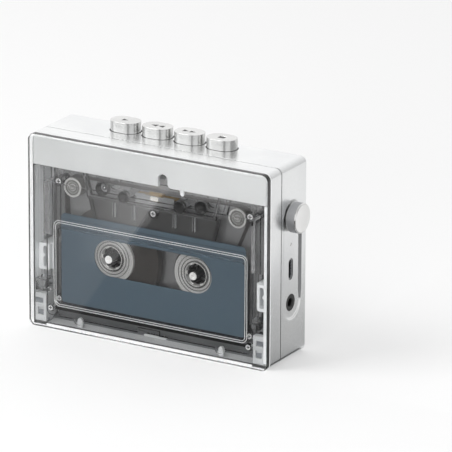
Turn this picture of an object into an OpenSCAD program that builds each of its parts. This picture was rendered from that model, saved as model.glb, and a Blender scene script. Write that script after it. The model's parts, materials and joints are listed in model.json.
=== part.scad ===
// Portable cassette player with a compact cassette in its door.
// X runs along the width, Y from the front to the rear, Z up. The origin is the middle of the base.
// Depths named *_y are measured from the front face of the clear window.

/* [Case] */
// Width of the case
body_w = 120; // [119:0.5:130]
// Height of the case
body_h = 88; // [87.5:0.5:94]
// Depth of the case
body_d = 33; // [33:0.5:40]
// Corner radius of the front outline
corner_r = 3; // [2:0.1:5]
// Thickness of the metal walls
wall = 1.65; // [1.4:0.05:1.8]
// Thickness of the rear panel
rear_panel_t = 1.5; // [1:0.1:2]
// Width of the metal rim round the rear panel
rear_rim = 1.3; // [1:0.05:1.35]
// Depth of the seam between the door and the body
seam_y = 12; // [11.8:0.1:12.4]
// Width of the seam
seam_gap = 0.5; // [0.4:0.05:0.7]

/* [Door] */
// Thickness of the clear window
window_t = 3.1; // [2.6:0.1:3.3]
// Thickness of the metal top band
band_t = 1.7; // [1:0.1:2]
// Height of the top band
band_h = 12.6; // [10:0.1:13]
// Place of the finger notch along the width
notch_x = 7.3; // [-20:0.1:30]
// Width of the finger notch
notch_w = 4.6; // [3:0.1:7]
// Height of the finger notch
notch_h = 5.8; // [4:0.1:8]
// Depth of the door hinge axis
hinge_y = 5.2; // [5.1:0.05:5.6]
// Height of the door hinge axis
hinge_z = 2.9; // [2.8:0.05:3.2]
// Radius of the hinge pins
pin_r = 0.9; // [0.7:0.05:1]
// Angle that the door opens
door_open = 30; // [20:1:30]

/* [Cassette] */
// Width of the cassette
cass_w = 100.4; // [98:0.1:101]
// Height of the cassette
cass_h = 63.8; // [63:0.1:64.5]
// Thickness of the cassette
cass_t = 8.7; // [8.2:0.1:9]
// Thickness of the cassette at its head end
nose_t = 12; // [11.5:0.1:12.4]
// Height of the cassette's lower edge over the base
cass_z = 10; // [9.8:0.1:10.4]
// Depth of the middle plane of the cassette
cass_y = 11.5; // [11.3:0.05:11.6]
// Distance between the two hubs
hub_pitch = 42.5; // [41:0.1:44]
// Height of the hubs over the cassette's lower edge
hub_rise = 25.6; // [25:0.1:26.5]
// Radius of the tape wound on the take-up hub
takeup_pack_r = 23; // [14:0.5:23.5]
// Radius of the tape wound on the supply hub
supply_pack_r = 11.8; // [11.4:0.1:18]
// Width of the tape
tape_w = 3.8; // [3.6:0.05:3.9]
// Radius of the guide rollers
roller_r = 4.5; // [4:0.1:4.6]

/* [Keys] */
// Length of a key
key_w = 14; // [12:0.1:15]
// Width of a key
key_d = 10; // [8:0.1:10.4]
// Height of a key over the top
key_rise = 4.7; // [4.5:0.1:6]
// Distance from key to key
key_pitch = 16.1; // [16:0.1:17]
// Middle of the row of keys along the width
key_row_x = -1.1; // [-3:0.1:2]
// Depth of the row of keys
key_y = 24.9; // [24.7:0.1:25.2]
// Gap round a key
key_gap = 0.4; // [0.2:0.05:0.5]
// Travel of a key
key_travel = 4; // [3:0.1:4.2]

/* [Side panel] */
// Depth of the row of sockets on the right side
side_y = 21.7; // [21.5:0.1:22]
// Depth of the side recess into the wall
recess_t = 0.8; // [0.5:0.05:0.9]
// Radius of the recess at its floor
recess_r = 6.1; // [6:0.1:6.6]
// Width of the sloped edge of the recess
recess_slope = 2; // [1:0.1:2.2]
// Diameter of the volume knob
knob_d = 13.2; // [11:0.1:14]
// Thickness of the volume knob
knob_t = 4.9; // [4:0.1:6]
// Gap between the knob and the floor of the recess
knob_gap = 0.9; // [0.5:0.1:1.5]
// Height of the volume knob
knob_z = 64; // [63:0.1:66]
// Height of the status light
light_z = 51.5; // [50.5:0.1:52]
// Height of the charging socket
usb_z = 40.3; // [39.5:0.1:41]
// Height of the headphone jack
jack_z = 25.2; // [24.5:0.1:26]
// Diameter of the headphone plug
jack_plug_d = 3.6; // [3.4:0.05:3.8]

/* [Mechanism] */
// Depth of the chassis plate
chassis_y = 18; // [17.9:0.05:18.2]
// Thickness of the chassis plate
chassis_t = 1.2; // [1:0.1:1.3]
// Radius of the flywheel
flywheel_r = 10.5; // [9:0.1:10.8]
// Thickness of the flywheel
flywheel_t = 2.6; // [2:0.1:2.6]
// Radius of the capstan
capstan_r = 1; // [0.8:0.05:1.1]
// Module of the gears
gear_m = 0.6; // [0.59:0.01:0.61]
// Teeth of the drive pinion
pinion_n = 14; // [13:1:15]
// Teeth of the idler gear
idler_n = 28; // [27:1:29]
// Teeth of the take-up gear
takeup_n = 40; // [39:1:41]
// Travel of the head bar
head_travel = 6.3; // [5:0.1:6.4]
// Radius of the motor
motor_r = 10; // [8:0.1:10.5]
// Radius of the motor pulley in its groove
pulley_r = 2.6; // [2:0.1:3]

/* [Hidden] */
$fn = 48;

// Clearances
fit = 0.1;
run_fit = 0.05;
lift_gap = 0.3;
over = 1;

// Case stations
front = -body_d / 2;
half_w = body_w / 2;
inner_w = half_w - wall;
inner_top = body_h - wall;
door_back = seam_y - seam_gap / 2;
body_front = seam_y + seam_gap / 2;
panel_y = body_d - rear_panel_t;
chassis_back = chassis_y + chassis_t;

// Corner posts and their screws
post_r = 3;
post_in = wall + post_r - 0.6;
screw_r = 0.8;
screw_head_r = 1.6;
screw_head_t = 0.8;
screw_depth = 8;

// Hinge
nose_r = hinge_y - window_t - 0.2;
arm_in = half_w - 7.8;
arm_out = inner_w - 0.55;
arm_top = 15;
arm_slot_low = 10.4;
arm_slot_h = 2.4;
arm_slot_in = 1.5;
arm_pocket_low = 5;
arm_pocket_h = 3.4;
arm_pocket_w = 3;
arm_cut = 0.8;
hinge_floor = hinge_z - nose_r - 0.2;
pin_seat = 0.9;
edge_bevel = 0.7;
bracket_low = 25;
bracket_high = 37;
bracket_front = 6.5;
bracket_slot_w = 2;
bracket_rim = 2.4;
bracket_bar = 1.2;
bracket_r = 0.8;
bracket_gap = 0.5;
bracket_stop = 6.5;

// Cassette stations
cass_x = cass_w / 2;
cass_top = cass_z + cass_h;
cass_front = cass_y - cass_t / 2;
cass_rear = cass_y + cass_t / 2;
nose_front = cass_y - nose_t / 2;
nose_h = 11.8;
nose_low_x = cass_x - 18.2;
nose_top_x = cass_x - 15.7;
shell_face = 1;
shell_edge = 1.4;
shell_r = 2.5;
hub_x = hub_pitch / 2;
hub_z = cass_z + hub_rise;
hub_hole_r = 5.6;
hub_r = 10.9;
hub_bore_r = 5.15;
hub_tooth_r = 3.75;
hub_tooth_w = 1.6;
hub_half = cass_t / 2 - shell_face - lift_gap;
hub_collar_r = 5.4;
hub_collar_half = cass_t / 2 - 0.25;
label_t = 0.12;
label_x = cass_x - 3.9;
label_low = cass_z + 1.3;
label_high = hub_z + 16.9;
label_gap_w = 59;
label_gap_h = 16.4;
roller_x = cass_x - 8.9;
roller_z = cass_top - 9.6;
roller_pin_r = 1;
roller_half = 2.6;
roller_rim = 1;
roller_hub_r = 2.2;
roller_dish = 0.6;
tape_t = 0.15;
tape_gap = 0.08;
tape_z = roller_z + roller_r + tape_gap;
capstan_x = -24.8;
capstan_z = cass_top - 6.8;
capstan_hole_r = 3.1;
locate_x = 14;
locate_z = cass_top - 8.6;
locate_r = 1.4;
locate_hole_r = 2.6;
boss_r = 1.9;
cass_screw_in = 2.2;
cass_screw_low = cass_z + 2.6;
cass_screw_high = cass_top - 7.6;
cass_screws = [[cass_screw_in - cass_x, cass_screw_low], [cass_x - cass_screw_in, cass_screw_low],
  [cass_screw_in - cass_x, cass_screw_high], [cass_x - cass_screw_in, cass_screw_high],
  [0, cass_top - 14.3]];
cass_screw_r = 0.7;
cass_head_r = 1.3;
cass_screw_len = 2.5;
head_openings = [[-33, -15.5], [-9, 9], [15.5, 33]];
rib_x = [10.3, 20];
rib_t = 0.7;
rib_h = 7;
rib_low = cass_top - 19.3;
rib_depth = 1.1;
pad_w = 6;
pad_spring_w = 20;
pad_spring_t = 0.5;
pad_t = 2;

// Cassette holder
holder_t = 1.2;
holder_back = window_t + holder_t;
holder_x = cass_x + 1.4;
holder_low = (wall + cass_z) / 2;
holder_high = cass_top - 7.3;
pocket_x = cass_x - 1.9;
pocket_low = cass_z + 0.8;
pocket_high = hub_z + 11.4;
pocket_r = 2.5;
pocket_rib = 1;
shelf_t = 1.35;
shelf_low = cass_z - run_fit - shelf_t;
lip_y = cass_rear + 0.25;
rail_x = cass_x + 0.4;
shelf_x = cass_x - 2.2;
lip_x = 30;
lip_t = 1;
lip_h = 5;
rail_w = 2.4;
rail_low = hub_z + 2.4;
rail_slope = 5;
rail_clip_low = hub_z + 14.4;
rail_clip_h = 8;
rail_clip_in = 2;
tab_x = 35.6;
tab_r = 2.4;
catch_w = 11;
catch_h = 2.2;
lug_x0 = holder_x - 0.6;
lug_x1 = inner_w - 1.1;
lug_low = arm_top + 1.2;
lug_h = 5.5;
lug_back = 9;
lug_wall = 1;
holder_screw_x = cass_x - 0.4;
holder_screw_z = cass_z - 0.9;
holder_screw_r = 0.7;
holder_head_r = 1.2;
holder_boss_r = 1.8;
holder_boss_y = window_t + 3.2;
cross_w = 0.45;
cross_depth = 0.5;

// Drive stations
belt_y = chassis_back + 1;
wheel_back = belt_y + flywheel_t;
gear_y = wheel_back + 0.8;
gear_t = 1.8;
bridge_y = gear_y + gear_t + 0.4;
bridge_t = 1;
gear_play = 0.06;
groove_t = 1.4;
groove_depth = 0.8;
belt_t = 0.9;
belt_gap = 0.05;
motor_x = 39;
motor_z = 62;
motor_y = wheel_back + 1;
motor_gap = 0.7;
motor_boss_r = 3;
idler_pin_r = 1.2;
stand_r = 2;
stand_clear = 1.8;
bridge_edge = 2.5;
plate_in = 9;
plate_out = 11;
plate_half = 12;
bush_r = 2.4;
bush_t = 0.7;

// Gear places: the idler lies where both centre distances meet
pinion_pr = gear_m * pinion_n / 2;
idler_pr = gear_m * idler_n / 2;
takeup_pr = gear_m * takeup_n / 2;
reach_a = pinion_pr + idler_pr + gear_play;
reach_b = idler_pr + takeup_pr + gear_play;
drive_dx = -hub_x - capstan_x;
drive_dz = hub_z - capstan_z;
drive_d = norm([drive_dx, drive_dz]);
reach_along = (reach_a * reach_a - reach_b * reach_b + drive_d * drive_d) / (2 * drive_d);
reach_off = sqrt(reach_a * reach_a - reach_along * reach_along);
idler_x = capstan_x + (drive_dx * reach_along + drive_dz * reach_off) / drive_d;
idler_z = capstan_z + (drive_dz * reach_along - drive_dx * reach_off) / drive_d;
pinion_to_idler = atan2(idler_z - capstan_z, idler_x - capstan_x);
idler_to_takeup = atan2(hub_z - idler_z, -hub_x - idler_x);
pinion_phase = pinion_to_idler;
idler_phase = mesh_phase(pinion_phase, pinion_n, idler_n, pinion_to_idler);
takeup_phase = mesh_phase(idler_phase, idler_n, takeup_n, idler_to_takeup);

// Stands of the gear bridge, the motor and the board
gear_tip = 0.9 * gear_m;
stand_x0 = idler_x - idler_pr - gear_tip - stand_clear - stand_r;
stand_x1 = takeup_pr + gear_tip - hub_x;
stand_low = hub_z - 9;
bridge_stands = [[stand_x0, idler_z], [stand_x0, stand_low],
  [stand_x1, (hub_z + capstan_z) / 2], [stand_x1, stand_low]];
bridge_x0 = stand_x0 - bridge_edge;
bridge_x1 = stand_x1 + bridge_edge;
bridge_z0 = stand_low - bridge_edge;
bridge_z1 = capstan_z + 4;
motor_stands = [for (x = [motor_x - plate_in + bridge_edge, motor_x + plate_out - bridge_edge],
  z = [motor_z - plate_half + bridge_edge, motor_z + plate_half - bridge_edge]) [x, z]];

// Spindles
spindle_r = 1.9;
spindle_edge = 0.4;
spindle_dimple_r = 0.8;
spindle_dimple = 0.5;
spindle_tip_y = nose_front;
spline_r = 4.3;
spline_w = 1.2;
spline_core = 2.6;
spline_back = cass_y + hub_half - 0.05;
spline_t = 1.6;
collar_r = 4.4;
collar_y = cass_rear + 0.45;
collar_t = 1.4;
spindle_end_y = bridge_y + bridge_t;

// Head bar
bar_y = cass_rear - 0.2;
bar_t = 2;
bar_h = 4.6;
bar_z = inner_top - 1.15 - bar_h;
bar_x0 = -32;
bar_x1 = 10;
rail_t = 2.5;
rail_bottom = cass_top + 1.8;
head_half = 5.8;
head_front = cass_y - 3.2;
head_back = cass_y + 3.2;
head_z = tape_z + 0.4 + head_travel;
shelf_plate = 1.4;
pinch_r = 4;
pinch_half = 2.6;
pinch_pin_r = 1;
pinch_z = head_z + pinch_r;
cheek_t = 0.6;
cheek_half = cass_y - head_front + 0.2;
cheek_w = 2.2;

// Keys
key_flange = 0.7;
icon_w = 3.1;
icon_h = 2.8;
icon_gap = 0.3;
icon_depth = 0.3;
key_flange_t = 1.5;
key_top = body_h + key_rise;
flange_z = inner_top - fit - key_flange_t;
stem_r = 1.3;
spring_r = 1.9;
spring_wire = 0.5;
spring_turns = 4;
guide_t = 1.5;
spring_closed = 3.75;
guide_z = flange_z - key_travel - spring_closed - guide_t;
guide_front = gear_y + 0.2;
guide_back = panel_y - 0.3;
stem_y = (guide_front + guide_back) / 2 - 0.6;
guide_x0 = -42;
guide_x1 = 27;
guide_leg = 4;
guide_leg_right = 10;

// Electronics
board_y = bridge_y - 0.9;
board_t = 1.2;
board_x0 = 30;
board_x1 = inner_w - 1.2;
board_z0 = 12;
board_z1 = 56;
board_notch = motor_z - motor_r - 1;
board_stand_in = 4;
board_stands = [for (z = [board_z0 + board_stand_in, board_notch - board_stand_in])
  [board_x0 + board_stand_in, z]];
chip_w = 7;
chip_t = 1;
usb_w = 9;
usb_t = 3.2;
usb_wall = 0.35;
usb_depth = 6;
usb_len = 7.7;
usb_tongue_t = 0.8;
usb_tongue_w = 6.4;
usb_tongue_len = 5;
jack_ring_r = 3.75;
jack_body_w = 9.2;
jack_body_len = 11;
jack_bore_len = 13.7;
jack_lead = 0.45;
light_r = 0.6;
battery_x0 = -52;
battery_x1 = -4;
battery_z0 = 8;
battery_z1 = 44;
battery_y = bridge_y + bridge_t + 0.4;
battery_gap = 0.3;
floor_x = half_w - recess_t;
pot_r = 4.5;
pot_len = 6;
pot_gap = 0.75;
pot_face = inner_w - pot_gap;
shaft_r = 2.5;
shaft_tail_r = 1.5;
knob_x = floor_x + knob_gap;
knob_edge = 0.4;
knob_cap_t = 1.5;

// Key centres, left to right
function key_x(i) = key_row_x + (i - 1.5) * key_pitch;

// Tooth angle of a gear that meshes with another along the direction given
function mesh_phase(phase, n, n_next, direction) =
  direction + 180 - (phase - direction) * n / n_next - 180 / n_next;

// Point on a circle in the plane of the front
function spot(x, z, r, a) = [x + r * cos(a), z + r * sin(a)];

// Extrudes a front view drawing between two depths
module slab(y0, y1) {
  translate([0, front + max(y0, y1), 0]) rotate([90, 0, 0]) linear_extrude(abs(y1 - y0)) children();
}

// Extrudes a side view drawing, depth by height, along X
module along_x(x0, x1) {
  translate([x0, front, 0]) rotate([90, 0, 90]) linear_extrude(x1 - x0) children();
}

// Extrudes a plan drawing, width by depth, between two heights
module rise(z0, z1) {
  translate([0, front, z0]) linear_extrude(z1 - z0) children();
}

// Round bar along Y
module rod(x, z, r, y0, y1) {
  slab(y0, y1) translate([x, z]) circle(r);
}

// Round bar along X
module rod_x(y, z, r, x0, x1) {
  along_x(x0, x1) translate([y, z]) circle(r);
}

// Rectangle with round corners
module rounded(x0, x1, z0, z1, r) {
  translate([x0 + r, z0]) square([x1 - x0 - 2 * r, z1 - z0]);
  translate([x0, z0 + r]) square([x1 - x0, z1 - z0 - 2 * r]);
  for (x = [x0 + r, x1 - r], z = [z0 + r, z1 - r]) translate([x, z]) circle(r);
}

// Outline of the case, drawn in by an inset
module outline(inset) {
  rounded(-half_w + inset, half_w - inset, inset, body_h - inset, max(corner_r - inset, 0.3));
}

// Slot with round ends, long along its first axis
module obround(w, d) {
  square([w - d, d], center = true);
  for (s = [-1, 1]) translate([s * (w - d) / 2, 0]) circle(d / 2);
}

module both_sides() {
  children();
  mirror([1, 0, 0]) children();
}

// Places at the four corner posts
module at_corners() {
  for (x = [-half_w + post_in, half_w - post_in], z = [post_in, body_h - post_in])
    translate([x, z]) children();
}

// Case

module recess_cut() {
  x0 = floor_x;
  cut_t = recess_t + over;
  r_out = recess_r + recess_slope * cut_t / recess_t;
  for (z = [jack_z, knob_z])
    translate([x0, front + side_y, z]) rotate([0, 90, 0]) cylinder(h = cut_t, r1 = recess_r, r2 = r_out);
  translate([x0, front + side_y, jack_z]) linear_extrude(knob_z - jack_z)
    polygon([[0, -recess_r], [cut_t, -r_out], [cut_t, r_out], [0, recess_r]]);
}

module body_frame() {
  color("silver") difference() {
    union() {
      difference() {
        slab(body_front, body_d) outline(0);
        slab(body_front - over, panel_y) outline(wall);
        slab(panel_y, body_d + over) outline(rear_rim);
      }
      slab(chassis_back, panel_y) at_corners() circle(post_r);
    }
    recess_cut();
    slab(chassis_back - over, chassis_back + screw_depth) at_corners() circle(screw_r);
    for (i = [0:3])
      rise(inner_top - over, body_h + over) translate([key_x(i), key_y])
        obround(key_w + 2 * key_gap, key_d + 2 * key_gap);
    rod_x(side_y, knob_z, shaft_r + run_fit, inner_w - over, floor_x + over);
    rod_x(side_y, light_z, light_r + fit, inner_w - over, floor_x + over);
    rod_x(side_y, jack_z, jack_ring_r + run_fit, inner_w - over, floor_x + over);
    along_x(inner_w - over, floor_x + over) translate([side_y, usb_z]) rotate(90)
      obround(usb_w + 2 * lift_gap, usb_t + 2 * lift_gap);
  }
}

module rear_panel() {
  color("gainsboro") slab(panel_y, body_d) outline(rear_rim + fit);
}

module chassis() {
  edge = wall + 0.2;
  color("gray") difference() {
    union() {
      slab(chassis_y, chassis_back) outline(edge);
      for (s = [-1, 1]) rod(s * locate_x, locate_z, locate_r, cass_y - 0.5, chassis_back);
      for (p = [[-hub_x, hub_z], [hub_x, hub_z], [capstan_x, capstan_z]])
        rod(p[0], p[1], bush_r, chassis_y, chassis_back + bush_t);
      for (p = bridge_stands) rod(p[0], p[1], stand_r, chassis_y, bridge_y);
      for (p = motor_stands) rod(p[0], p[1], stand_r, chassis_y, motor_y - bridge_t);
      for (p = board_stands) rod(p[0], p[1], stand_r, chassis_y, board_y);
      rod(idler_x, idler_z, idler_pin_r, chassis_y, bridge_y);
      for (x = [bar_x0 - run_fit - rail_t, bar_x1 + run_fit])
        slab(bar_y, chassis_back) translate([x, rail_bottom])
          square([rail_t, inner_top - 0.35 - rail_bottom]);
    }
    for (p = [[-hub_x, hub_z], [hub_x, hub_z]])
      rod(p[0], p[1], spindle_r + run_fit, chassis_y - over, chassis_back + over);
    rod(capstan_x, capstan_z, capstan_r + run_fit, chassis_y - over, chassis_back + over);
    slab(chassis_y - over, chassis_back + over) at_corners() circle(screw_r);
    slab(chassis_y - over, chassis_back + over)
      translate([pot_face - pot_len - fit, knob_z - pot_r - lift_gap])
        square([half_w, 2 * pot_r + 2 * lift_gap]);
  }
}

module chassis_screws() {
  color("lightgray") {
    slab(chassis_y - screw_head_t, chassis_y) at_corners() circle(screw_head_r);
    slab(chassis_y, chassis_back + screw_depth - over) at_corners() circle(screw_r);
  }
}

// Arm from the chassis to a round nose on the door's hinge axis
module hinge_bracket() {
  low_y = hinge_y + nose_r * sin(door_open);
  low_z = hinge_z - nose_r * cos(door_open);
  arm_front = hinge_y - nose_r;
  difference() {
    union() {
      along_x(arm_in, arm_out) translate([hinge_y, hinge_z]) circle(nose_r);
      along_x(arm_in, arm_out)
        polygon([[low_y, low_z],
          [chassis_y, low_z + (chassis_y - low_y) * tan(door_open)],
          [chassis_y, arm_top],
          [arm_front, arm_top],
          [arm_front, hinge_z]]);
    }
    rod_x(hinge_y, hinge_z, pin_r + run_fit, arm_in - over, arm_out + over);
    slab(arm_front - over, arm_front + arm_cut) {
      translate([arm_in + arm_slot_in, arm_slot_low]) square([arm_out - arm_in, arm_slot_h]);
      translate([(arm_in + arm_out - arm_pocket_w) / 2, arm_pocket_low])
        square([arm_pocket_w, arm_pocket_h]);
    }
  }
}

module hinge_bracket_right() {
  color("lightgray") hinge_bracket();
}

module hinge_bracket_left() {
  color("lightgray") mirror([1, 0, 0]) hinge_bracket();
}

// Slotted guide beside the cassette holder, with a stop in its slot
module guide_bracket() {
  x0 = cass_x + bracket_gap;
  x1 = inner_w - bracket_gap;
  bar_x = x1 - bracket_rim;
  step_y = bracket_front + bracket_rim;
  difference() {
    union() {
      slab(step_y, chassis_y) rounded(x0, x1, bracket_low, bracket_high, bracket_r);
      slab(bracket_front, step_y)
        rounded(bar_x - bracket_slot_w - bracket_bar, x1, bracket_low, bracket_high, bracket_r);
    }
    slab(bracket_front - over, chassis_y + over) difference() {
      rounded(bar_x - bracket_slot_w, bar_x, bracket_low + bracket_bar, bracket_high - bracket_bar,
        bracket_r);
      translate([bar_x, bracket_low + bracket_stop]) circle(bracket_r);
    }
  }
}

module guide_bracket_right() {
  color("lightgray") guide_bracket();
}

module guide_bracket_left() {
  color("lightgray") mirror([1, 0, 0]) guide_bracket();
}

// Screw from y0 to y1 with a cross recess in its head
module cross_screw(x, z, head_r, shank_r, y0, y1) {
  difference() {
    rod(x, z, head_r, y0, y0 + screw_head_t);
    slab(y0 - over, y0 + cross_depth) translate([x, z]) for (a = [0, 90])
      rotate(a) square([1.4 * head_r, cross_w], center = true);
  }
  rod(x, z, shank_r, y0 + screw_head_t, y1);
}

// Door

module door_frame() {
  color("silver") difference() {
    slab(window_t, door_back) outline(0);
    slab(window_t - over, door_back + over) outline(wall);
    along_x(-half_w - over, half_w + over)
      polygon([[door_back - edge_bevel, 0], [door_back, edge_bevel], [door_back + over, edge_bevel],
        [door_back + over, -over], [door_back - edge_bevel, -over]]);
    both_sides() {
      slab(window_t - over, door_back + over) translate([arm_in - 0.3, hinge_floor])
        square([inner_w - arm_in + 0.3, wall]);
      rod_x(hinge_y, hinge_z, pin_r, inner_w - over, inner_w + pin_seat);
    }
  }
}

module window() {
  color("lightcyan", 0.4) slab(0, window_t) outline(0);
}

module top_band() {
  z0 = inner_top - band_h;
  r = notch_w / 2;
  flare = 2;
  color("silver") slab(window_t, window_t + band_t) difference() {
    intersection() {
      outline(wall + fit);
      translate([-half_w, z0]) square([body_w, body_h]);
    }
    translate([notch_x, z0 + notch_h - r]) circle(r);
    translate([notch_x - r, z0 - over]) square([notch_w, notch_h - r + over]);
    difference() {
      translate([notch_x + r - fit, z0 - over]) square([flare + fit, flare + over]);
      translate([notch_x + r + flare, z0 + flare]) circle(flare);
    }
  }
}

module cassette_holder() {
  color("lightcyan", 0.5) difference() {
    union() {
      slab(window_t, holder_back) rounded(-holder_x, holder_x, holder_low, holder_high, pocket_r);
      slab(window_t, cass_front - 0.15) difference() {
        rounded(-pocket_x, pocket_x, pocket_low, pocket_high, pocket_r);
        rounded(-pocket_x + pocket_rib, pocket_x - pocket_rib, pocket_low + pocket_rib,
          pocket_high - pocket_rib, pocket_r - pocket_rib);
      }
      slab(window_t, lip_y + lip_t) translate([-shelf_x, shelf_low]) square([2 * shelf_x, shelf_t]);
      slab(lip_y, lip_y + lip_t) translate([-lip_x, shelf_low]) square([2 * lip_x, lip_h]);
      both_sides() {
        along_x(rail_x, rail_x + rail_w) polygon([[window_t, rail_low + rail_slope], [lip_y, rail_low],
          [lip_y + lip_t, rail_low], [lip_y + lip_t, holder_high], [window_t, holder_high]]);
        slab(lip_y, lip_y + lip_t) translate([rail_x - rail_clip_in, rail_clip_low])
          square([rail_clip_in + rail_w / 2, rail_clip_h]);
        slab(window_t, lug_back) translate([lug_x0, lug_low]) square([lug_x1 - lug_x0, lug_h]);
        slab(window_t, holder_back) translate([tab_x, holder_low]) circle(tab_r);
        rod(holder_screw_x, holder_screw_z, holder_boss_r, window_t, holder_boss_y);
      }
    }
    both_sides() {
      rod(holder_screw_x, holder_screw_z, holder_screw_r, window_t - over, holder_boss_y + over);
      rod(holder_screw_x, holder_screw_z, holder_head_r, window_t - over, window_t + fit + screw_head_t);
      slab(holder_back, lug_back + over) translate([lug_x0 + 2 * lug_wall, lug_low + lug_wall])
        square([lug_x1 - lug_x0 - 3 * lug_wall, lug_h - 2 * lug_wall]);
    }
    slab(window_t - over, holder_back + over) translate([-catch_w / 2, holder_low - over])
      square([catch_w, catch_h + over]);
  }
}

module hinge_pins() {
  color("gray") both_sides() rod_x(hinge_y, hinge_z, pin_r, arm_in - 0.2, inner_w + pin_seat);
}

module holder_screws() {
  color("lightgray") both_sides()
    cross_screw(holder_screw_x, holder_screw_z, holder_head_r, holder_screw_r, window_t + fit,
      holder_boss_y);
}

// Cassette

module cassette_outline(inset) {
  rounded(-cass_x + inset, cass_x - inset, cass_z + inset, cass_top - inset, shell_r - inset);
}

// Thick head end of the cassette, drawn in by an inset
module nose_outline(inset) {
  polygon([[-nose_low_x + inset, cass_top - nose_h + inset], [nose_low_x - inset, cass_top - nose_h + inset],
    [nose_top_x - inset, cass_top - inset], [-nose_top_x + inset, cass_top - inset]]);
}

// One half of the shell, on the front (-1) or the rear (1) of the middle plane
module cassette_half(side) {
  face = cass_y + side * cass_t / 2;
  nose = cass_y + side * nose_t / 2;
  past = cass_y - side * over;
  difference() {
    union() {
      difference() {
        union() {
          slab(cass_y, face) cassette_outline(0);
          slab(cass_y, nose) nose_outline(0);
        }
        slab(past, face - side * shell_face) cassette_outline(shell_edge);
        slab(past, nose - side * shell_face) nose_outline(shell_edge);
      }
      for (p = cass_screws) rod(p[0], p[1], boss_r, cass_y, face);
      for (s = [-1, 1], x = rib_x)
        slab(face - side * (shell_face + rib_depth), face - side * shell_face / 2)
          translate([s * x - rib_t / 2, rib_low]) square([rib_t, rib_h]);
    }
    for (s = [-1, 1]) {
      rod(s * hub_x, hub_z, hub_hole_r, past, nose + side * over);
      rod(s * capstan_x, capstan_z, capstan_hole_r, past, nose + side * over);
      rod(s * locate_x, locate_z, locate_hole_r, past, nose + side * over);
    }
    for (span = head_openings)
      slab(past, nose - side * shell_face) translate([span[0], cass_top - shell_edge - over])
        square([span[1] - span[0], shell_edge + 2 * over]);
    for (p = cass_screws) {
      rod(p[0], p[1], cass_screw_r, cass_front - over, cass_y + cass_screw_len);
      rod(p[0], p[1], cass_head_r + fit, cass_front - over, cass_front + fit + screw_head_t);
    }
  }
}

module cassette_front_shell() {
  color("gainsboro", 0.4) cassette_half(-1);
}

module cassette_rear_shell() {
  color("gainsboro", 0.4) {
    cassette_half(1);
    for (s = [-1, 1])
      rod(s * roller_x, roller_z, roller_pin_r, cass_front + shell_face, cass_rear - shell_face / 2);
  }
}

module cassette_label() {
  color("lightsteelblue") slab(cass_front - label_t, cass_front) difference() {
    rounded(-label_x, label_x, label_low, label_high, 2);
    translate([0, hub_z]) obround(label_gap_w, label_gap_h);
  }
}

module cassette_screws() {
  color("lightgray") for (p = cass_screws)
    cross_screw(p[0], p[1], cass_head_r, cass_screw_r, cass_front + fit, cass_y + cass_screw_len);
}

// Direction in which a ribbon touches two circles on their outer side
function touch_angle(x0, z0, r0, x1, z1, r1, side) =
  atan2(z1 - z0, x1 - x0) + side * acos((r0 - r1) / norm([x1 - x0, z1 - z0]));

// Line of the tape from pack to pack over both rollers, at a distance from what it runs on
function tape_line(away) =
  let (bend_r = roller_r + away,
    takeup_r = takeup_pack_r + away,
    supply_r = supply_pack_r + away,
    a = 360 + touch_angle(-roller_x, roller_z, bend_r, -hub_x, hub_z, takeup_r, -1),
    b = touch_angle(roller_x, roller_z, bend_r, hub_x, hub_z, supply_r, 1),
    steps = 8)
  concat([spot(-hub_x, hub_z, takeup_r, a)],
    [for (k = [0:steps]) spot(-roller_x, roller_z, bend_r, a + (90 - a) * k / steps)],
    [for (k = [0:steps]) spot(roller_x, roller_z, bend_r, 90 + (b - 90) * k / steps)],
    [spot(hub_x, hub_z, supply_r, b)]);

module tape_run() {
  inner = tape_line(tape_gap);
  outer = tape_line(tape_gap + tape_t);
  last = len(outer) - 1;
  color("saddlebrown") slab(cass_y - tape_w / 2, cass_y + tape_w / 2)
    polygon(concat(inner, [for (k = [0:last]) outer[last - k]]));
}

module pressure_pad() {
  pad_top = tape_z - 0.05;
  color("goldenrod") slab(cass_y - tape_w / 2, cass_y + tape_w / 2) {
    translate([-pad_spring_w / 2, pad_top - pad_t - pad_spring_t]) square([pad_spring_w, pad_spring_t]);
    translate([-pad_w / 2, pad_top - pad_t]) square([pad_w, pad_t]);
  }
}

// Roller with a dished face between its rim and its hub
module guide_roller(x) {
  difference() {
    rod(x, roller_z, roller_r, cass_y - roller_half, cass_y + roller_half);
    rod(x, roller_z, roller_pin_r + run_fit, cass_y - roller_half - over, cass_y + roller_half + over);
    for (s = [-1, 1])
      slab(cass_y + s * (roller_half - roller_dish), cass_y + s * (roller_half + over))
        translate([x, roller_z]) difference() {
          circle(roller_r - roller_rim);
          circle(roller_hub_r);
        }
  }
}

module guide_roller_left() {
  color("whitesmoke") guide_roller(-roller_x);
}

module guide_roller_right() {
  color("whitesmoke") guide_roller(roller_x);
}

module hub(x) {
  slab(cass_y - hub_half, cass_y + hub_half) translate([x, hub_z]) {
    difference() {
      circle(hub_r);
      circle(hub_bore_r);
    }
    for (i = [0:5]) rotate(60 * i) translate([hub_tooth_r, -hub_tooth_w / 2])
      square([hub_bore_r - hub_tooth_r + 0.1, hub_tooth_w]);
  }
  slab(cass_y - hub_collar_half, cass_y + hub_collar_half) translate([x, hub_z]) difference() {
    circle(hub_collar_r);
    circle(hub_bore_r);
  }
}

module tape_pack(x, r) {
  slab(cass_y - tape_w / 2, cass_y + tape_w / 2) translate([x, hub_z]) difference() {
    circle(r);
    circle(hub_r);
  }
}

module takeup_hub() {
  color("white") hub(-hub_x);
}

module supply_hub() {
  color("white") hub(hub_x);
}

module takeup_pack() {
  color("saddlebrown") tape_pack(-hub_x, takeup_pack_r);
}

module supply_pack() {
  color("saddlebrown") tape_pack(hub_x, supply_pack_r);
}

// Drive

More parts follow.
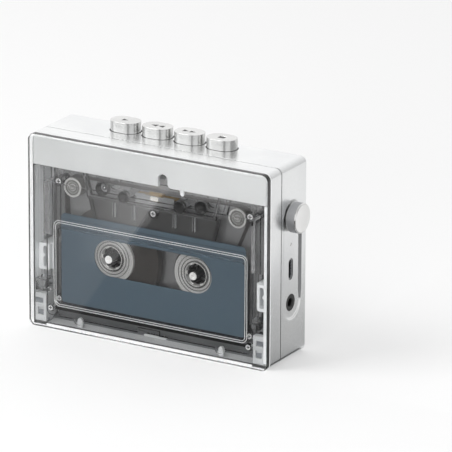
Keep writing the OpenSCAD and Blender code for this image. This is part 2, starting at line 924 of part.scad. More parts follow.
// Flat-topped teeth on a disc, with a bore
module gear(n, phase, bore_r) {
  pr = gear_m * n / 2;
  root = pr - 1.2 * gear_m;
  tip = pr + 0.9 * gear_m;
  half = 90 / n;
  difference() {
    polygon([for (i = [0:n - 1], k = [[root, -1.35], [tip, -0.45], [tip, 0.45], [root, 1.35]])
      spot(0, 0, k[0], phase + 360 * i / n + k[1] * half)]);
    circle(bore_r);
  }
}

// Shaft with a chamfered, dimpled tip, three splines and a collar
module spindle(x, end_y) {
  difference() {
    union() {
      rod(x, hub_z, spindle_r, spindle_tip_y + spindle_edge, end_y);
      translate([x, front + spindle_tip_y, hub_z]) rotate([-90, 0, 0])
        cylinder(h = spindle_edge, r1 = spindle_r - spindle_edge, r2 = spindle_r);
    }
    rod(x, hub_z, spindle_dimple_r, spindle_tip_y - over, spindle_tip_y + spindle_dimple);
  }
  rod(x, hub_z, spline_core, spline_back - spline_t, collar_y);
  rod(x, hub_z, collar_r, collar_y, collar_y + collar_t);
  slab(spline_back - spline_t, spline_back) translate([x, hub_z])
    for (i = [0:2]) rotate(90 + 120 * i) translate([0, -spline_w / 2]) square([spline_r, spline_w]);
}

module takeup_spindle() {
  color("lightgray") spindle(-hub_x, spindle_end_y);
}

module supply_spindle() {
  color("lightgray") {
    spindle(hub_x, gear_y);
    rod(hub_x, hub_z, collar_r, chassis_back + bush_t + 0.1, gear_y);
  }
}

module takeup_gear() {
  color("ivory") slab(gear_y, gear_y + gear_t) translate([-hub_x, hub_z])
    gear(takeup_n, takeup_phase, spindle_r + run_fit);
}

module flywheel() {
  mid = belt_y + flywheel_t / 2;
  color("goldenrod") difference() {
    rod(capstan_x, capstan_z, flywheel_r, belt_y, wheel_back);
    rod(capstan_x, capstan_z, capstan_r, belt_y - over, wheel_back + over);
    slab(mid - groove_t / 2, mid + groove_t / 2) translate([capstan_x, capstan_z]) difference() {
      circle(flywheel_r + over);
      circle(flywheel_r - groove_depth);
    }
  }
}

module capstan() {
  color("lightgray") rod(capstan_x, capstan_z, capstan_r, cass_y - 3, bridge_y + bridge_t);
}

module drive_pinion() {
  color("ivory") slab(wheel_back, gear_y + gear_t) translate([capstan_x, capstan_z])
    gear(pinion_n, pinion_phase, capstan_r);
}

module idler_gear() {
  color("ivory") slab(gear_y, gear_y + gear_t) translate([idler_x, idler_z])
    gear(idler_n, idler_phase, idler_pin_r + run_fit);
}

module gear_bridge() {
  color("silver") slab(bridge_y, bridge_y + bridge_t) difference() {
    rounded(bridge_x0, bridge_x1, bridge_z0, bridge_z1, 2);
    translate([capstan_x, capstan_z]) circle(capstan_r + run_fit);
    translate([-hub_x, hub_z]) circle(spindle_r + run_fit);
  }
}

module motor() {
  color("silver") {
    rod(motor_x, motor_z, motor_r, motor_y, panel_y - motor_gap);
    rod(motor_x, motor_z, motor_boss_r, motor_y - bridge_t, motor_y);
  }
}

module motor_bracket() {
  color("gray") slab(motor_y - bridge_t, motor_y) difference() {
    rounded(motor_x - plate_in, motor_x + plate_out, motor_z - plate_half, motor_z + plate_half, stand_r);
    translate([motor_x, motor_z]) circle(motor_boss_r);
  }
}

module motor_pulley() {
  mid = belt_y + flywheel_t / 2;
  color("goldenrod") difference() {
    rod(motor_x, motor_z, pulley_r + groove_depth, belt_y, wheel_back - 0.3);
    slab(mid - groove_t / 2, mid + groove_t / 2) translate([motor_x, motor_z]) difference() {
      circle(pulley_r + groove_depth + over);
      circle(pulley_r);
    }
  }
}

// Loop round the flywheel and the pulley, grown by an offset
module belt_loop(grow) {
  r0 = flywheel_r - groove_depth + grow;
  r1 = pulley_r + grow;
  dx = motor_x - capstan_x;
  dz = motor_z - capstan_z;
  a = atan2(dz, dx);
  t = acos((r0 - r1) / norm([dx, dz]));
  translate([capstan_x, capstan_z]) circle(r0);
  translate([motor_x, motor_z]) circle(r1);
  polygon([spot(capstan_x, capstan_z, r0, a + t), spot(capstan_x, capstan_z, r0, a - t),
    spot(motor_x, motor_z, r1, a - t), spot(motor_x, motor_z, r1, a + t)]);
}

module drive_belt() {
  mid = belt_y + flywheel_t / 2;
  half = groove_t / 2 - 0.15;
  color("dimgray") slab(mid - half, mid + half) difference() {
    belt_loop(belt_gap + belt_t);
    belt_loop(belt_gap);
  }
}

// Head bar

module head_bar() {
  color("silver") {
    slab(bar_y, bar_y + bar_t) translate([bar_x0, bar_z]) square([bar_x1 - bar_x0, bar_h]);
    slab(head_front, bar_y) translate([-head_half - 1, bar_z]) square([2 * head_half + 2, shelf_plate]);
    slab(cass_y - cheek_half, bar_y)
      translate([capstan_x - cheek_w, bar_z + bar_h - 1]) square([2 * cheek_w, 1]);
    for (y = [cass_y - cheek_half, cass_y + cheek_half - cheek_t]) slab(y, y + cheek_t) {
      translate([capstan_x - cheek_w, pinch_z]) square([2 * cheek_w, bar_z + bar_h - pinch_z]);
      translate([capstan_x, pinch_z]) circle(cheek_w);
    }
    rod(capstan_x, pinch_z, pinch_pin_r, cass_y - cheek_half, cass_y + cheek_half);
  }
}

module play_head() {
  color("lightgray") slab(head_front, head_back)
    rounded(-head_half, head_half, head_z, bar_z, 1.2);
}

module pinch_roller() {
  color("dimgray")
    slab(cass_y - pinch_half, cass_y + pinch_half) translate([capstan_x, pinch_z]) difference() {
      circle(pinch_r);
      circle(pinch_pin_r + run_fit);
    }
}

// Keys

module key_guide() {
  color("gray") rise(guide_z, guide_z + guide_t) difference() {
    union() {
      translate([guide_x0, guide_front]) square([guide_x1 - guide_x0, guide_back - guide_front]);
      translate([guide_x0, chassis_back]) square([guide_leg, guide_back - chassis_back]);
      translate([guide_x1 - guide_leg_right, chassis_back])
        square([guide_leg_right, guide_back - chassis_back]);
    }
    for (i = [0:3]) translate([key_x(i), stem_y]) circle(stem_r + run_fit);
  }
}

module key(i) {
  color("silver") difference() {
    union() {
      rise(flange_z, key_top) translate([key_x(i), key_y]) obround(key_w, key_d);
      rise(flange_z, flange_z + key_flange_t) translate([key_x(i), key_y])
        obround(key_w + 2 * key_flange, key_d + 2 * key_flange);
      rise(guide_z, flange_z) translate([key_x(i), stem_y]) circle(stem_r);
    }
    rise(key_top - icon_depth, key_top + over) translate([key_x(i), key_y]) key_icon(i);
  }
}

// Triangle centred at x that points right, or left with side -1
module arrow(x, side) {
  polygon([[x - side * icon_w / 2, -icon_h / 2], [x - side * icon_w / 2, icon_h / 2],
    [x + side * icon_w / 2, 0]]);
}

// Sign cut into the top of a key: play, rewind, forward and stop in order
module key_icon(i) {
  if (i == 0) arrow(0, 1);
  if (i == 1) for (s = [-1, 1]) arrow(s * (icon_w + icon_gap) / 2, -1);
  if (i == 2) for (s = [-1, 1]) arrow(s * (icon_w + icon_gap) / 2, 1);
  if (i == 3) square([icon_w, icon_h], center = true);
}

// Coil between the guide and the flange of a key
module key_spring(i) {
  sides = 5;
  steps = 10;
  z0 = guide_z + guide_t + spring_wire / 2 + 0.05;
  z1 = flange_z - spring_wire / 2 - 0.05;
  rings = spring_turns * steps;
  points = [for (k = [0:rings], s = [0:sides - 1])
    let (a = 360 * k / steps, b = 360 * s / sides, r = spring_r + spring_wire / 2 * cos(b))
    [r * cos(a), r * sin(a), z0 + (z1 - z0) * k / rings + spring_wire / 2 * sin(b)]];
  tube = [for (k = [0:rings - 1], s = [0:sides - 1])
    let (n = (s + 1) % sides, p = k * sides, q = p + sides)
    each [[p + s, q + s, q + n], [p + s, q + n, p + n]]];
  first = [for (s = [1:sides - 2]) [0, s, s + 1]];
  last = [for (s = [1:sides - 2]) [rings * sides, rings * sides + s + 1, rings * sides + s]];
  color("lightgray") translate([key_x(i), front + stem_y, 0]) polyhedron(points, concat(tube, first, last));
}

// Electronics

module battery() {
  color("slategray") slab(battery_y, panel_y - battery_gap)
    rounded(battery_x0, battery_x1, battery_z0, battery_z1, 2);
}

module circuit_board() {
  color("darkgreen") {
    slab(board_y, board_y + board_t) {
      translate([board_x0, board_z0]) square([board_x1 - board_x0, board_notch - board_z0]);
      translate([motor_x + motor_r + 1, board_z0])
        square([board_x1 - motor_x - motor_r - 1, board_z1 - board_z0]);
    }
    slab(board_y + board_t, board_y + board_t + chip_t)
      for (k = [1, 2]) translate([board_x0 + chip_w, board_z0 + k * 1.5 * chip_w]) square(chip_w);
  }
}

module usb_socket() {
  x1 = floor_x - 0.3;
  x0 = x1 - usb_len;
  color("gray") difference() {
    union() {
      along_x(x0, x1) translate([side_y, usb_z]) rotate(90) obround(usb_w, usb_t);
      slab(side_y, board_y) translate([x0, usb_z - usb_w / 2 + 1]) square([inner_w - 1 - x0, usb_w - 2]);
    }
    along_x(x1 - usb_depth, x1 + over) translate([side_y, usb_z]) rotate(90) difference() {
      obround(usb_w - 2 * usb_wall, usb_t - 2 * usb_wall);
      square([usb_tongue_w, usb_tongue_t], center = true);
    }
    along_x(x1 - usb_depth + usb_tongue_len, x1 + over) translate([side_y, usb_z]) rotate(90)
      square([usb_tongue_w + over, usb_tongue_t + 2 * fit], center = true);
  }
}

module headphone_jack() {
  x1 = floor_x - 0.05;
  body_x1 = inner_w - 0.4;
  bore_r = jack_plug_d / 2;
  color("dimgray") difference() {
    union() {
      rod_x(side_y, jack_z, jack_ring_r, inner_w - 0.15, x1);
      rod_x(side_y, jack_z, side_y - chassis_back - 0.2, body_x1 - 1, x1);
      slab(chassis_back + 0.2, board_y) translate([body_x1 - jack_body_len, jack_z - jack_body_w / 2])
        square([jack_body_len, jack_body_w]);
    }
    rod_x(side_y, jack_z, bore_r, x1 - jack_bore_len, x1 + over);
    translate([x1 - jack_lead, front + side_y, jack_z]) rotate([0, 90, 0])
      cylinder(h = jack_lead * 2, r1 = bore_r, r2 = bore_r + jack_lead * 2);
  }
}

module status_light() {
  x1 = floor_x - 0.1;
  color("white") {
    rod_x(side_y, light_z, light_r, inner_w - 3, x1);
    slab(side_y - light_r, board_y) translate([inner_w - 4, light_z - 1]) square([2, 2]);
  }
}

module volume_pot() {
  color("gray") difference() {
    rod_x(side_y, knob_z, pot_r, pot_face - pot_len, pot_face);
    rod_x(side_y, knob_z, shaft_tail_r + run_fit, pot_face - pot_len + over, pot_face + over);
  }
}

module volume_shaft() {
  color("lightgray") {
    rod_x(side_y, knob_z, shaft_tail_r, pot_face - pot_len + 1.2, inner_w - 0.3);
    rod_x(side_y, knob_z, shaft_r, inner_w - 0.3, knob_x + knob_t - knob_cap_t);
  }
}

module volume_knob() {
  r = knob_d / 2;
  x1 = knob_x + knob_t;
  color("silver") difference() {
    union() {
      rod_x(side_y, knob_z, r, knob_x, x1 - knob_edge);
      translate([x1 - knob_edge, front + side_y, knob_z]) rotate([0, 90, 0])
        cylinder(h = knob_edge, r1 = r, r2 = r - knob_edge);
    }
    rod_x(side_y, knob_z, shaft_r, knob_x - over, x1 - knob_cap_t);
  }
}

body_frame();
rear_panel();
chassis();
chassis_screws();
hinge_bracket_left();
hinge_bracket_right();
guide_bracket_left();
guide_bracket_right();
gear_bridge();
key_guide();
motor_bracket();
motor();
drive_belt();
battery();
circuit_board();
usb_socket();
headphone_jack();
status_light();
volume_pot();
door_frame();
window();
top_band();
cassette_holder();
hinge_pins();
holder_screws();
cassette_front_shell();
cassette_rear_shell();
cassette_label();
cassette_screws();
tape_run();
pressure_pad();
guide_roller_left();
guide_roller_right();
takeup_hub();
takeup_pack();
supply_hub();
supply_pack();
takeup_spindle();
takeup_gear();
supply_spindle();
flywheel();
capstan();
drive_pinion();
idler_gear();
motor_pulley();
head_bar();
play_head();
pinch_roller();
key(0);  // play_key
key(1);  // rewind_key
key(2);  // forward_key
key(3);  // stop_key
key_spring(0);  // play_spring
key_spring(1);  // rewind_spring
key_spring(2);  // forward_spring
key_spring(3);  // stop_spring
volume_knob();
volume_shaft();
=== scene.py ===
"""Looks of a portable cassette player with a clear door: finishes, edges, trims, floor, light and camera."""

import json
import math

import bmesh
import bpy
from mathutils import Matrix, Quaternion, Vector


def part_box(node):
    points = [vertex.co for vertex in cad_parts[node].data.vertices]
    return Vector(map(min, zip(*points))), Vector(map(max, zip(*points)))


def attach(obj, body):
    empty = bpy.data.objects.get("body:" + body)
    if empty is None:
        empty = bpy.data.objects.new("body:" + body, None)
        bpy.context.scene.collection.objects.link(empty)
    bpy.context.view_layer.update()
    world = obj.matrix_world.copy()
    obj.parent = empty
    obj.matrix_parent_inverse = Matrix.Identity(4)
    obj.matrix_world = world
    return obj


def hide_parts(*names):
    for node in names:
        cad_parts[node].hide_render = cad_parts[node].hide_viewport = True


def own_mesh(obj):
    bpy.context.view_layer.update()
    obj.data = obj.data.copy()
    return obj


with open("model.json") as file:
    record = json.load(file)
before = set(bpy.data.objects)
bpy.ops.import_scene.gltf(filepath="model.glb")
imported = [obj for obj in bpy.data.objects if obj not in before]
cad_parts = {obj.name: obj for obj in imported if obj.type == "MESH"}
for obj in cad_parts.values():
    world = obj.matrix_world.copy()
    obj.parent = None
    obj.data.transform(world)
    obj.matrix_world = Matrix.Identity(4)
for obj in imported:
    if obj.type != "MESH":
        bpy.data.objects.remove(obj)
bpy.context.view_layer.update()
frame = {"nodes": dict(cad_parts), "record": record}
nodes = frame["nodes"]
MM = 0.001

# Photograph: viewing angles in degrees, distance, target and clipping in metres, lens and sensor in mm
VIEW_AZIMUTH = 30.323
VIEW_ELEVATION = 18.363
VIEW_ROLL = 0.260
VIEW_DISTANCE = 2.17984
VIEW_TARGET = Vector((0.030961, -0.0015, 0.056755))
LENS_MM = 405.7
SENSOR_MM = 36.0
CLIP_M = (0.05, 20.0)

# Places in mm from the middle of the base; depths are negative towards the door
FRONT = -16.5
HUB_X = 21.25
HUB_Z = 35.6
HUB_BORE = 5.45
# Depth past which the hubs' bores are painted black as shade
BORE_SHADE_DEPTH = FRONT + 10.4
TOOTH_ROOT = 4.6
SPINDLE_TIP = FRONT + 5.5
WINDOW_BACK = FRONT + 3.1

# Bonding film on the door's rim: its depth and the height of the grey line painted as shade along its lower edge, in
# mm
FILM_DEPTH = 0.05
SHADE_LINE_H = 0.45
SHADE_LINE_GREY = "8c8d8e"

# Label: colours, and the heights and width of its ruled lines as shares of its height
LABEL_BLUE = "42535f"
LABEL_LINE = "333f48"
LABEL_RULES = (0.83, 0.88, 0.93)
LABEL_RULE_W = 0.008
LABEL_TOP_LINE = 0.99

# Spans of noise that are spread over a texture's range
NOISE_SPAN = (0.3, 0.7)
MOTTLE_SPAN = (0.35, 0.65)


def linear(code):
    """Linear RGBA of an sRGB hex colour."""
    channels = [int(code[i:i + 2], 16) / 255 for i in (0, 2, 4)]
    return [c / 12.92 if c <= 0.04045 else ((c + 0.055) / 1.055) ** 2.4 for c in channels] + [1.0]


def per_mm(size):
    """Texture scale at which one feature is this many millimetres across."""
    return 1.0 / (size * MM)


def add(tree, kind, values=None, links=None, **settings):
    """Adds a shader node: its own settings, the values of its sockets, and what feeds them."""
    node = tree.nodes.new("ShaderNode" + kind)
    for name, value in settings.items():
        setattr(node, name, value)
    for socket, value in (values or {}).items():
        node.inputs[socket].default_value = value
    for socket, source in (links or {}).items():
        tree.links.new(source, node.inputs[socket])
    return node


def start_material(name, colour, **values):
    """New material with its shader's plain values set; underscores in the names stand for spaces."""
    made = bpy.data.materials.new(name)
    made.use_nodes = True
    tree = made.node_tree
    shader = tree.nodes["Principled BSDF"]
    shader.inputs["Base Color"].default_value = linear(colour)
    for socket, value in values.items():
        shader.inputs[socket.replace("_", " ")].default_value = value
    return made, tree, shader


def grain(tree, shader, size, low, high, bump, detail=3.0):
    """Fine grain of that size in mm: roughness between low and high, and a shallow bump in mm."""
    place = add(tree, "TexCoord")
    noise = add(tree, "TexNoise", {"Scale": per_mm(size), "Detail": detail}, {"Vector": place.outputs["Object"]})
    rough = add(tree, "MapRange",
                {"From Min": NOISE_SPAN[0], "From Max": NOISE_SPAN[1], "To Min": low, "To Max": high},
                {"Value": noise.outputs["Fac"]})
    relief = add(tree, "Bump", {"Strength": 0.5, "Distance": bump * MM}, {"Height": noise.outputs["Fac"]})
    tree.links.new(rough.outputs["Result"], shader.inputs["Roughness"])
    tree.links.new(relief.outputs["Normal"], shader.inputs["Normal"])
    return place


def two_colours(tree, shader, share, first, second, span=(0.0, 1.0)):
    """Feeds the shader's colour: the first below the span, the second above it, and a blend between."""
    ramp = add(tree, "ValToRGB", links={"Fac": share})
    for element, position, colour in zip(ramp.color_ramp.elements, span, (first, second)):
        element.position = position
        element.color = linear(colour)
    tree.links.new(ramp.outputs["Color"], shader.inputs["Base Color"])
    return ramp.outputs["Color"]


def mottle(tree, shader, place, size, dark, light):
    """Slow drift between two near colours, in patches of that size in mm."""
    noise = add(tree, "TexNoise", {"Scale": per_mm(size), "Detail": 2.0}, {"Vector": place.outputs["Object"]})
    return two_colours(tree, shader, noise.outputs["Fac"], dark, light, MOTTLE_SPAN)


def axes_of(tree, place):
    """The three coordinates of a point on the object."""
    return add(tree, "SeparateXYZ", links={"Vector": place.outputs["Object"]}).outputs


def bead_blasted_aluminium(name):
    """Anodised aluminium, bead-blasted: a pale satin metal whose grain softens every reflection."""
    made, tree, shader = start_material(name, "e8e9ea", Metallic=1.0)
    # Real grit is about 0.1 mm; drawn coarser so that it shows
    place = grain(tree, shader, 0.35, 0.24, 0.28, 0.0004)
    blast = mottle(tree, shader, place, 30, "e3e4e5", "eceded")
    return made, tree, shader, place, blast


def filmed_aluminium():
    """The same aluminium with a pale bonding film on the rim that carries the window, and a grey line painted as
    shade along its lower outer edge.
    """
    made, tree, shader, place, blast = bead_blasted_aluminium("filmed_aluminium")
    axes = axes_of(tree, place)
    bare = add(tree, "Math", {1: (WINDOW_BACK + FILM_DEPTH) * MM}, {0: axes["Y"]}, operation="GREATER_THAN")
    tree.links.new(bare.outputs["Value"], shader.inputs["Metallic"])
    # The grey line along the film's lower edge is painted shade
    low = add(tree, "Math", {1: SHADE_LINE_H * MM}, {0: axes["Z"]}, operation="LESS_THAN")
    film = add(tree, "Math", {0: 1.0}, {1: bare.outputs["Value"]}, operation="SUBTRACT")
    shade_line = add(tree, "Math", links={0: low.outputs["Value"], 1: film.outputs["Value"]}, operation="MULTIPLY")
    mix = add(tree, "Mix", {7: linear(SHADE_LINE_GREY)}, {0: shade_line.outputs["Value"], 6: blast}, data_type="RGBA")
    tree.links.new(mix.outputs[2], shader.inputs["Base Color"])
    return made


def turned_aluminium(name, dark, light, low=0.16, high=0.24):
    """Anodised aluminium turned after the blast: a tight reflection where polished, a soft one where knurled."""
    made, tree, shader = start_material(name, light, Metallic=1.0)
    place = grain(tree, shader, 0.3, low, high, 0.002)
    mottle(tree, shader, place, 12, dark, light)
    return made


def silver_lacquer():
    """Silver lacquer on the band behind the window: pale, with fine flake that dulls its reflection."""
    made, tree, shader = start_material("silver_lacquer", "d6d8d8", Metallic=0.35, IOR=1.5)
    place = grain(tree, shader, 0.25, 0.35, 0.45, 0.002)
    mottle(tree, shader, place, 30, "d2d4d4", "dadcdc")
    return made


def clear_polycarbonate(name, ior):
    """Clear moulded polycarbonate: glossy, nearly colourless; a lower index leaves its cut edges fainter."""
    return start_material(name, "f9f9f9", Transmission_Weight=1.0, IOR=ior, Roughness=0.0)[0]


def smoked_styrene():
    """Injection-moulded clear polystyrene with a light grey smoke tint, faintly rippled by the mould."""
    made, tree, shader = start_material("smoked_styrene", "ededed", Transmission_Weight=1.0, IOR=1.59,
                                        Roughness=0.03)
    place = add(tree, "TexCoord")
    ripple = add(tree, "TexNoise", {"Scale": per_mm(9), "Detail": 1.0}, {"Vector": place.outputs["Object"]})
    relief = add(tree, "Bump", {"Strength": 0.25, "Distance": 0.05 * MM}, {"Height": ripple.outputs["Fac"]})
    tree.links.new(relief.outputs["Normal"], shader.inputs["Normal"])
    return made


def moulded_plastic(name, dark, light, low, high):
    """Plastic, rubber, enamel or felt: an even colour with the fine texture of its tool or fibre."""
    made, tree, shader = start_material(name, light, IOR=1.53)
    place = grain(tree, shader, 0.4, low, high, 0.01)
    mottle(tree, shader, place, 14, dark, light)
    return made


def zinc_plate():
    """Screw steel under bright zinc: a pale satin plating that stays light in a dark recess."""
    made, tree, shader = start_material("zinc_plate", "e6e7e8", Metallic=0.45, IOR=1.5)
    place = grain(tree, shader, 0.2, 0.32, 0.45, 0.003)
    mottle(tree, shader, place, 2, "dcddde", "eeefef")
    return made


def turned_steel():
    """Nickel-plated steel, turned: fine rings and a hard highlight."""
    made, tree, shader = start_material("turned_steel", "c4c5c7", Metallic=1.0)
    place = grain(tree, shader, 0.2, 0.18, 0.3, 0.003)
    mottle(tree, shader, place, 5, "b9babc", "cdced0")
    return made


def phosphor_bronze():
    """Rolled bronze and brass: warm yellow metal with a brushed roughness."""
    made, tree, shader = start_material("phosphor_bronze", "d6b05c", Metallic=1.0)
    place = grain(tree, shader, 0.2, 0.2, 0.32, 0.003)
    mottle(tree, shader, place, 6, "cda653", "deba6a")
    return made


def hub_radius(tree, place):
    """Distance of a point from the axis of the nearer hub."""
    axes = axes_of(tree, place)
    side = add(tree, "Math", links={0: axes["X"]}, operation="ABSOLUTE")
    across = add(tree, "Math", {1: HUB_X * MM}, {0: side.outputs["Value"]}, operation="SUBTRACT")
    rise = add(tree, "Math", {1: HUB_Z * MM}, {0: axes["Z"]}, operation="SUBTRACT")
    spoke = add(tree, "CombineXYZ", links={"X": across.outputs["Value"], "Y": rise.outputs["Value"]})
    return add(tree, "VectorMath", links={0: spoke.outputs["Vector"]}, operation="LENGTH").outputs["Value"]


def shaded_bore_acetal():
    """Grey acetal hub, its flange and collar grey, with painted shade: black deep in its bore and all through its
    middle, the tooth roots near the front left grey.
    """
    made, tree, shader = start_material("shaded_bore_acetal", "c8c8c6", IOR=1.48)
    place = grain(tree, shader, 0.4, 0.3, 0.42, 0.01)
    radius = hub_radius(tree, place)
    # Black deep in the bore and all through its middle is painted shade
    inside = add(tree, "Math", {1: HUB_BORE * MM}, {0: radius}, operation="LESS_THAN")
    deep = add(tree, "Math", {1: BORE_SHADE_DEPTH * MM}, {0: axes_of(tree, place)["Y"]}, operation="GREATER_THAN")
    ring = add(tree, "Math", links={0: inside.outputs["Value"], 1: deep.outputs["Value"]}, operation="MULTIPLY")
    core = add(tree, "Math", {1: TOOTH_ROOT * MM}, {0: radius}, operation="LESS_THAN")
    black = add(tree, "Math", links={0: ring.outputs["Value"], 1: core.outputs["Value"]}, operation="MAXIMUM")
    two_colours(tree, shader, black.outputs["Value"], "c8c8c6", "1c1c1c")
    return made


def wound_tape():
    """Polyester tape wound on its hub: dark oxide with fine rings from layer to layer."""
    made, tree, shader = start_material("wound_tape", "3d3a38", Roughness=0.3, IOR=1.6)
    place = add(tree, "TexCoord")
    # Layers are hundredths of a millimetre; drawn 0.5 mm apart so that they show
    rings = add(tree, "TexNoise", {"Scale": per_mm(0.5), "Detail": 3.0}, {"W": hub_radius(tree, place)},
                noise_dimensions="1D")
    two_colours(tree, shader, rings.outputs["Fac"], "353230", "474340", NOISE_SPAN)
    relief = add(tree, "Bump", {"Strength": 0.4, "Distance": 0.02 * MM}, {"Height": rings.outputs["Fac"]})
    tree.links.new(relief.outputs["Normal"], shader.inputs["Normal"])
    return made


def coated_label_paper():
    """Coated label paper, printed blue-grey: matt, with paper fibre and a few ruled lines along its top."""
    made, tree, shader = start_material("coated_label_paper", LABEL_BLUE, Roughness=0.55, IOR=1.5)
    place = grain(tree, shader, 0.5, 0.5, 0.62, 0.006, detail=5.0)
    low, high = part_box("cassette_label")
    height = add(tree, "MapRange", {"From Min": low.z, "From Max": high.z}, {"Value": axes_of(tree, place)["Z"]})
    ruled = add(tree, "ValToRGB", links={"Fac": height.outputs["Result"]})
    bands = ruled.color_ramp
    bands.interpolation = "CONSTANT"
    bands.elements[0].color = linear(LABEL_BLUE)
    bands.elements[1].position = LABEL_TOP_LINE
    bands.elements[1].color = linear(LABEL_LINE)
    for at in LABEL_RULES:
        line = bands.elements.new(at)
        line.color = linear(LABEL_LINE)
        after = bands.elements.new(at + LABEL_RULE_W)
        after.color = linear(LABEL_BLUE)
    tree.links.new(ruled.outputs["Color"], shader.inputs["Base Color"])
    return made


def solder_mask():
    """Glass-epoxy board under green solder mask: glossy over the weave."""
    made, tree, shader = start_material("solder_mask", "1f5a38", IOR=1.5)
    place = grain(tree, shader, 0.5, 0.2, 0.35, 0.01)
    mottle(tree, shader, place, 6, "1a4f31", "256441")
    return made


def pouch_foil():
    """Aluminium-laminate battery pouch: soft silver-grey with faint creases."""
    made, tree, shader = start_material("pouch_foil", "9b9ea2", Metallic=0.8)
    place = grain(tree, shader, 3.0, 0.35, 0.5, 0.05)
    mottle(tree, shader, place, 10, "92959a", "a6a9ad")
    return made


finishes = {
    "satin_aluminium": bead_blasted_aluminium("bead_blasted_aluminium")[0],
    "clear_polycarbonate": clear_polycarbonate("clear_polycarbonate", 1.585),
    "clear_styrene": smoked_styrene(),
    "light_grey_abs": moulded_plastic("light_grey_abs", "b0b2b3", "babcbd", 0.4, 0.55),
    "grey_abs": moulded_plastic("grey_abs", "6c6d6f", "77787a", 0.45, 0.6),
    "steel": turned_steel(),
    "brass": phosphor_bronze(),
    "white_acetal": moulded_plastic("white_acetal", "dededc", "e8e8e6", 0.3, 0.42),
    "black_rubber": moulded_plastic("black_rubber", "1c1c1c", "242424", 0.6, 0.8),
    "black_plastic": moulded_plastic("black_abs", "121212", "1a1a1a", 0.3, 0.45),
    "tape_film": wound_tape(),
    "label_paper": coated_label_paper(),
    "circuit_laminate": solder_mask(),
    "battery_foil": pouch_foil(),
}
key_aluminium = turned_aluminium("key_aluminium", "d2d2d1", "dadad9")
hub_acetal = shaded_bore_acetal()
roller_acetal = moulded_plastic("roller_acetal", "82827f", "8c8c8a", 0.3, 0.42)
white_abs = moulded_plastic("white_abs", "dcdedf", "e6e8e9", 0.4, 0.55)
screw_zinc = zinc_plate()
own_finish = {
    "play_key": key_aluminium, "rewind_key": key_aluminium, "forward_key": key_aluminium, "stop_key": key_aluminium,
    "volume_knob": turned_aluminium("turned_aluminium", "e0e0df", "eaeae9"),
    "top_band": silver_lacquer(),
    "door_frame": filmed_aluminium(),
    "cassette_holder": clear_polycarbonate("thin_polycarbonate", 1.15),
    "takeup_hub": hub_acetal, "supply_hub": hub_acetal,
    "guide_roller_left": roller_acetal, "guide_roller_right": roller_acetal,
    "cassette_screws": screw_zinc, "holder_screws": screw_zinc,
    "guide_bracket_left": white_abs, "guide_bracket_right": white_abs,
    "chassis": moulded_plastic("chassis_abs", "b0b1b2", "babbbc", 0.45, 0.6),
}
for part in frame["record"]["subparts"]:
    body_mesh = nodes[part["node"]].data
    body_mesh.materials.clear()
    body_mesh.materials.append(own_finish.get(part["node"], finishes[part["material_slot"]]))

# Edge rounding of the solids in mm, and of those that are not listed
EDGE = {
    "body_frame": 0.35, "door_frame": 0.35, "rear_panel": 0.25, "top_band": 0.25, "window": 0.6,
    "cassette_holder": 0.2, "cassette_front_shell": 0.25, "cassette_rear_shell": 0.25,
    "play_key": 0.15, "rewind_key": 0.15, "forward_key": 0.15, "stop_key": 0.15, "volume_knob": 0.3,
    "usb_socket": 0.1, "headphone_jack": 0.15,
}
PLAIN_EDGE = 0.12
EDGE_STEPS = 3
PIECE_EDGE_STEPS = 2
# Edges sharper than this are rounded, and faces flatter than that are joined
EDGE_DEGREES = 32
FLAT_DEGREES = 0.5
WELD_GAP = 0.002
# Hair gap that keeps clear pieces from lying face to face with what they touch, in mm
AIR_GAP = 0.02
CLEAR = ("window", "cassette_holder", "cassette_front_shell", "cassette_rear_shell")
NO_EDGE = ("play_spring", "rewind_spring", "forward_spring", "stop_spring", "tape_run", "cassette_label")


def round_edges(node):
    """Welds a solid's faces, rounds its edges and evens out its shading."""
    solid = nodes[node]
    weld = solid.modifiers.new("weld", "WELD")
    weld.merge_threshold = WELD_GAP * MM
    if node in CLEAR:
        gap = solid.modifiers.new("air_gap", "DISPLACE")
        gap.mid_level = 0.0
        gap.strength = -AIR_GAP * MM
        # Clear plastic lets the lamps' light straight through
        solid.visible_shadow = False
    if node in NO_EDGE:
        return
    flat = solid.modifiers.new("flats", "DECIMATE")
    flat.decimate_type = "DISSOLVE"
    flat.angle_limit = math.radians(FLAT_DEGREES)
    edge = solid.modifiers.new("edge", "BEVEL")
    edge.width = EDGE.get(node, PLAIN_EDGE) * MM
    edge.segments = EDGE_STEPS
    edge.limit_method = "ANGLE"
    edge.angle_limit = math.radians(EDGE_DEGREES)
    edge.miter_outer = "MITER_ARC"
    shade = solid.modifiers.new("shade", "WEIGHTED_NORMAL")
    shade.keep_sharp = False


for node in nodes:
    round_edges(node)


def add_piece(name, body, material, draw, edge=0.0):
    """New piece drawn in millimetres that rides on a body; an edge above 0 is rounded by that much."""
    drawn = bmesh.new()
    draw(drawn)
    bmesh.ops.recalc_face_normals(drawn, faces=drawn.faces)
    bmesh.ops.scale(drawn, vec=(MM, MM, MM), verts=drawn.verts)
    mesh = bpy.data.meshes.new(name)
    drawn.to_mesh(mesh)
    drawn.free()
    mesh.materials.append(material)
    piece = bpy.data.objects.new(name, mesh)
    bpy.context.scene.collection.objects.link(piece)
    if edge:
        bevel = piece.modifiers.new("edge", "BEVEL")
        bevel.width = edge * MM
        bevel.segments = PIECE_EDGE_STEPS
        bevel.limit_method = "ANGLE"
        bevel.angle_limit = math.radians(EDGE_DEGREES)
    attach(piece, body)
    return piece


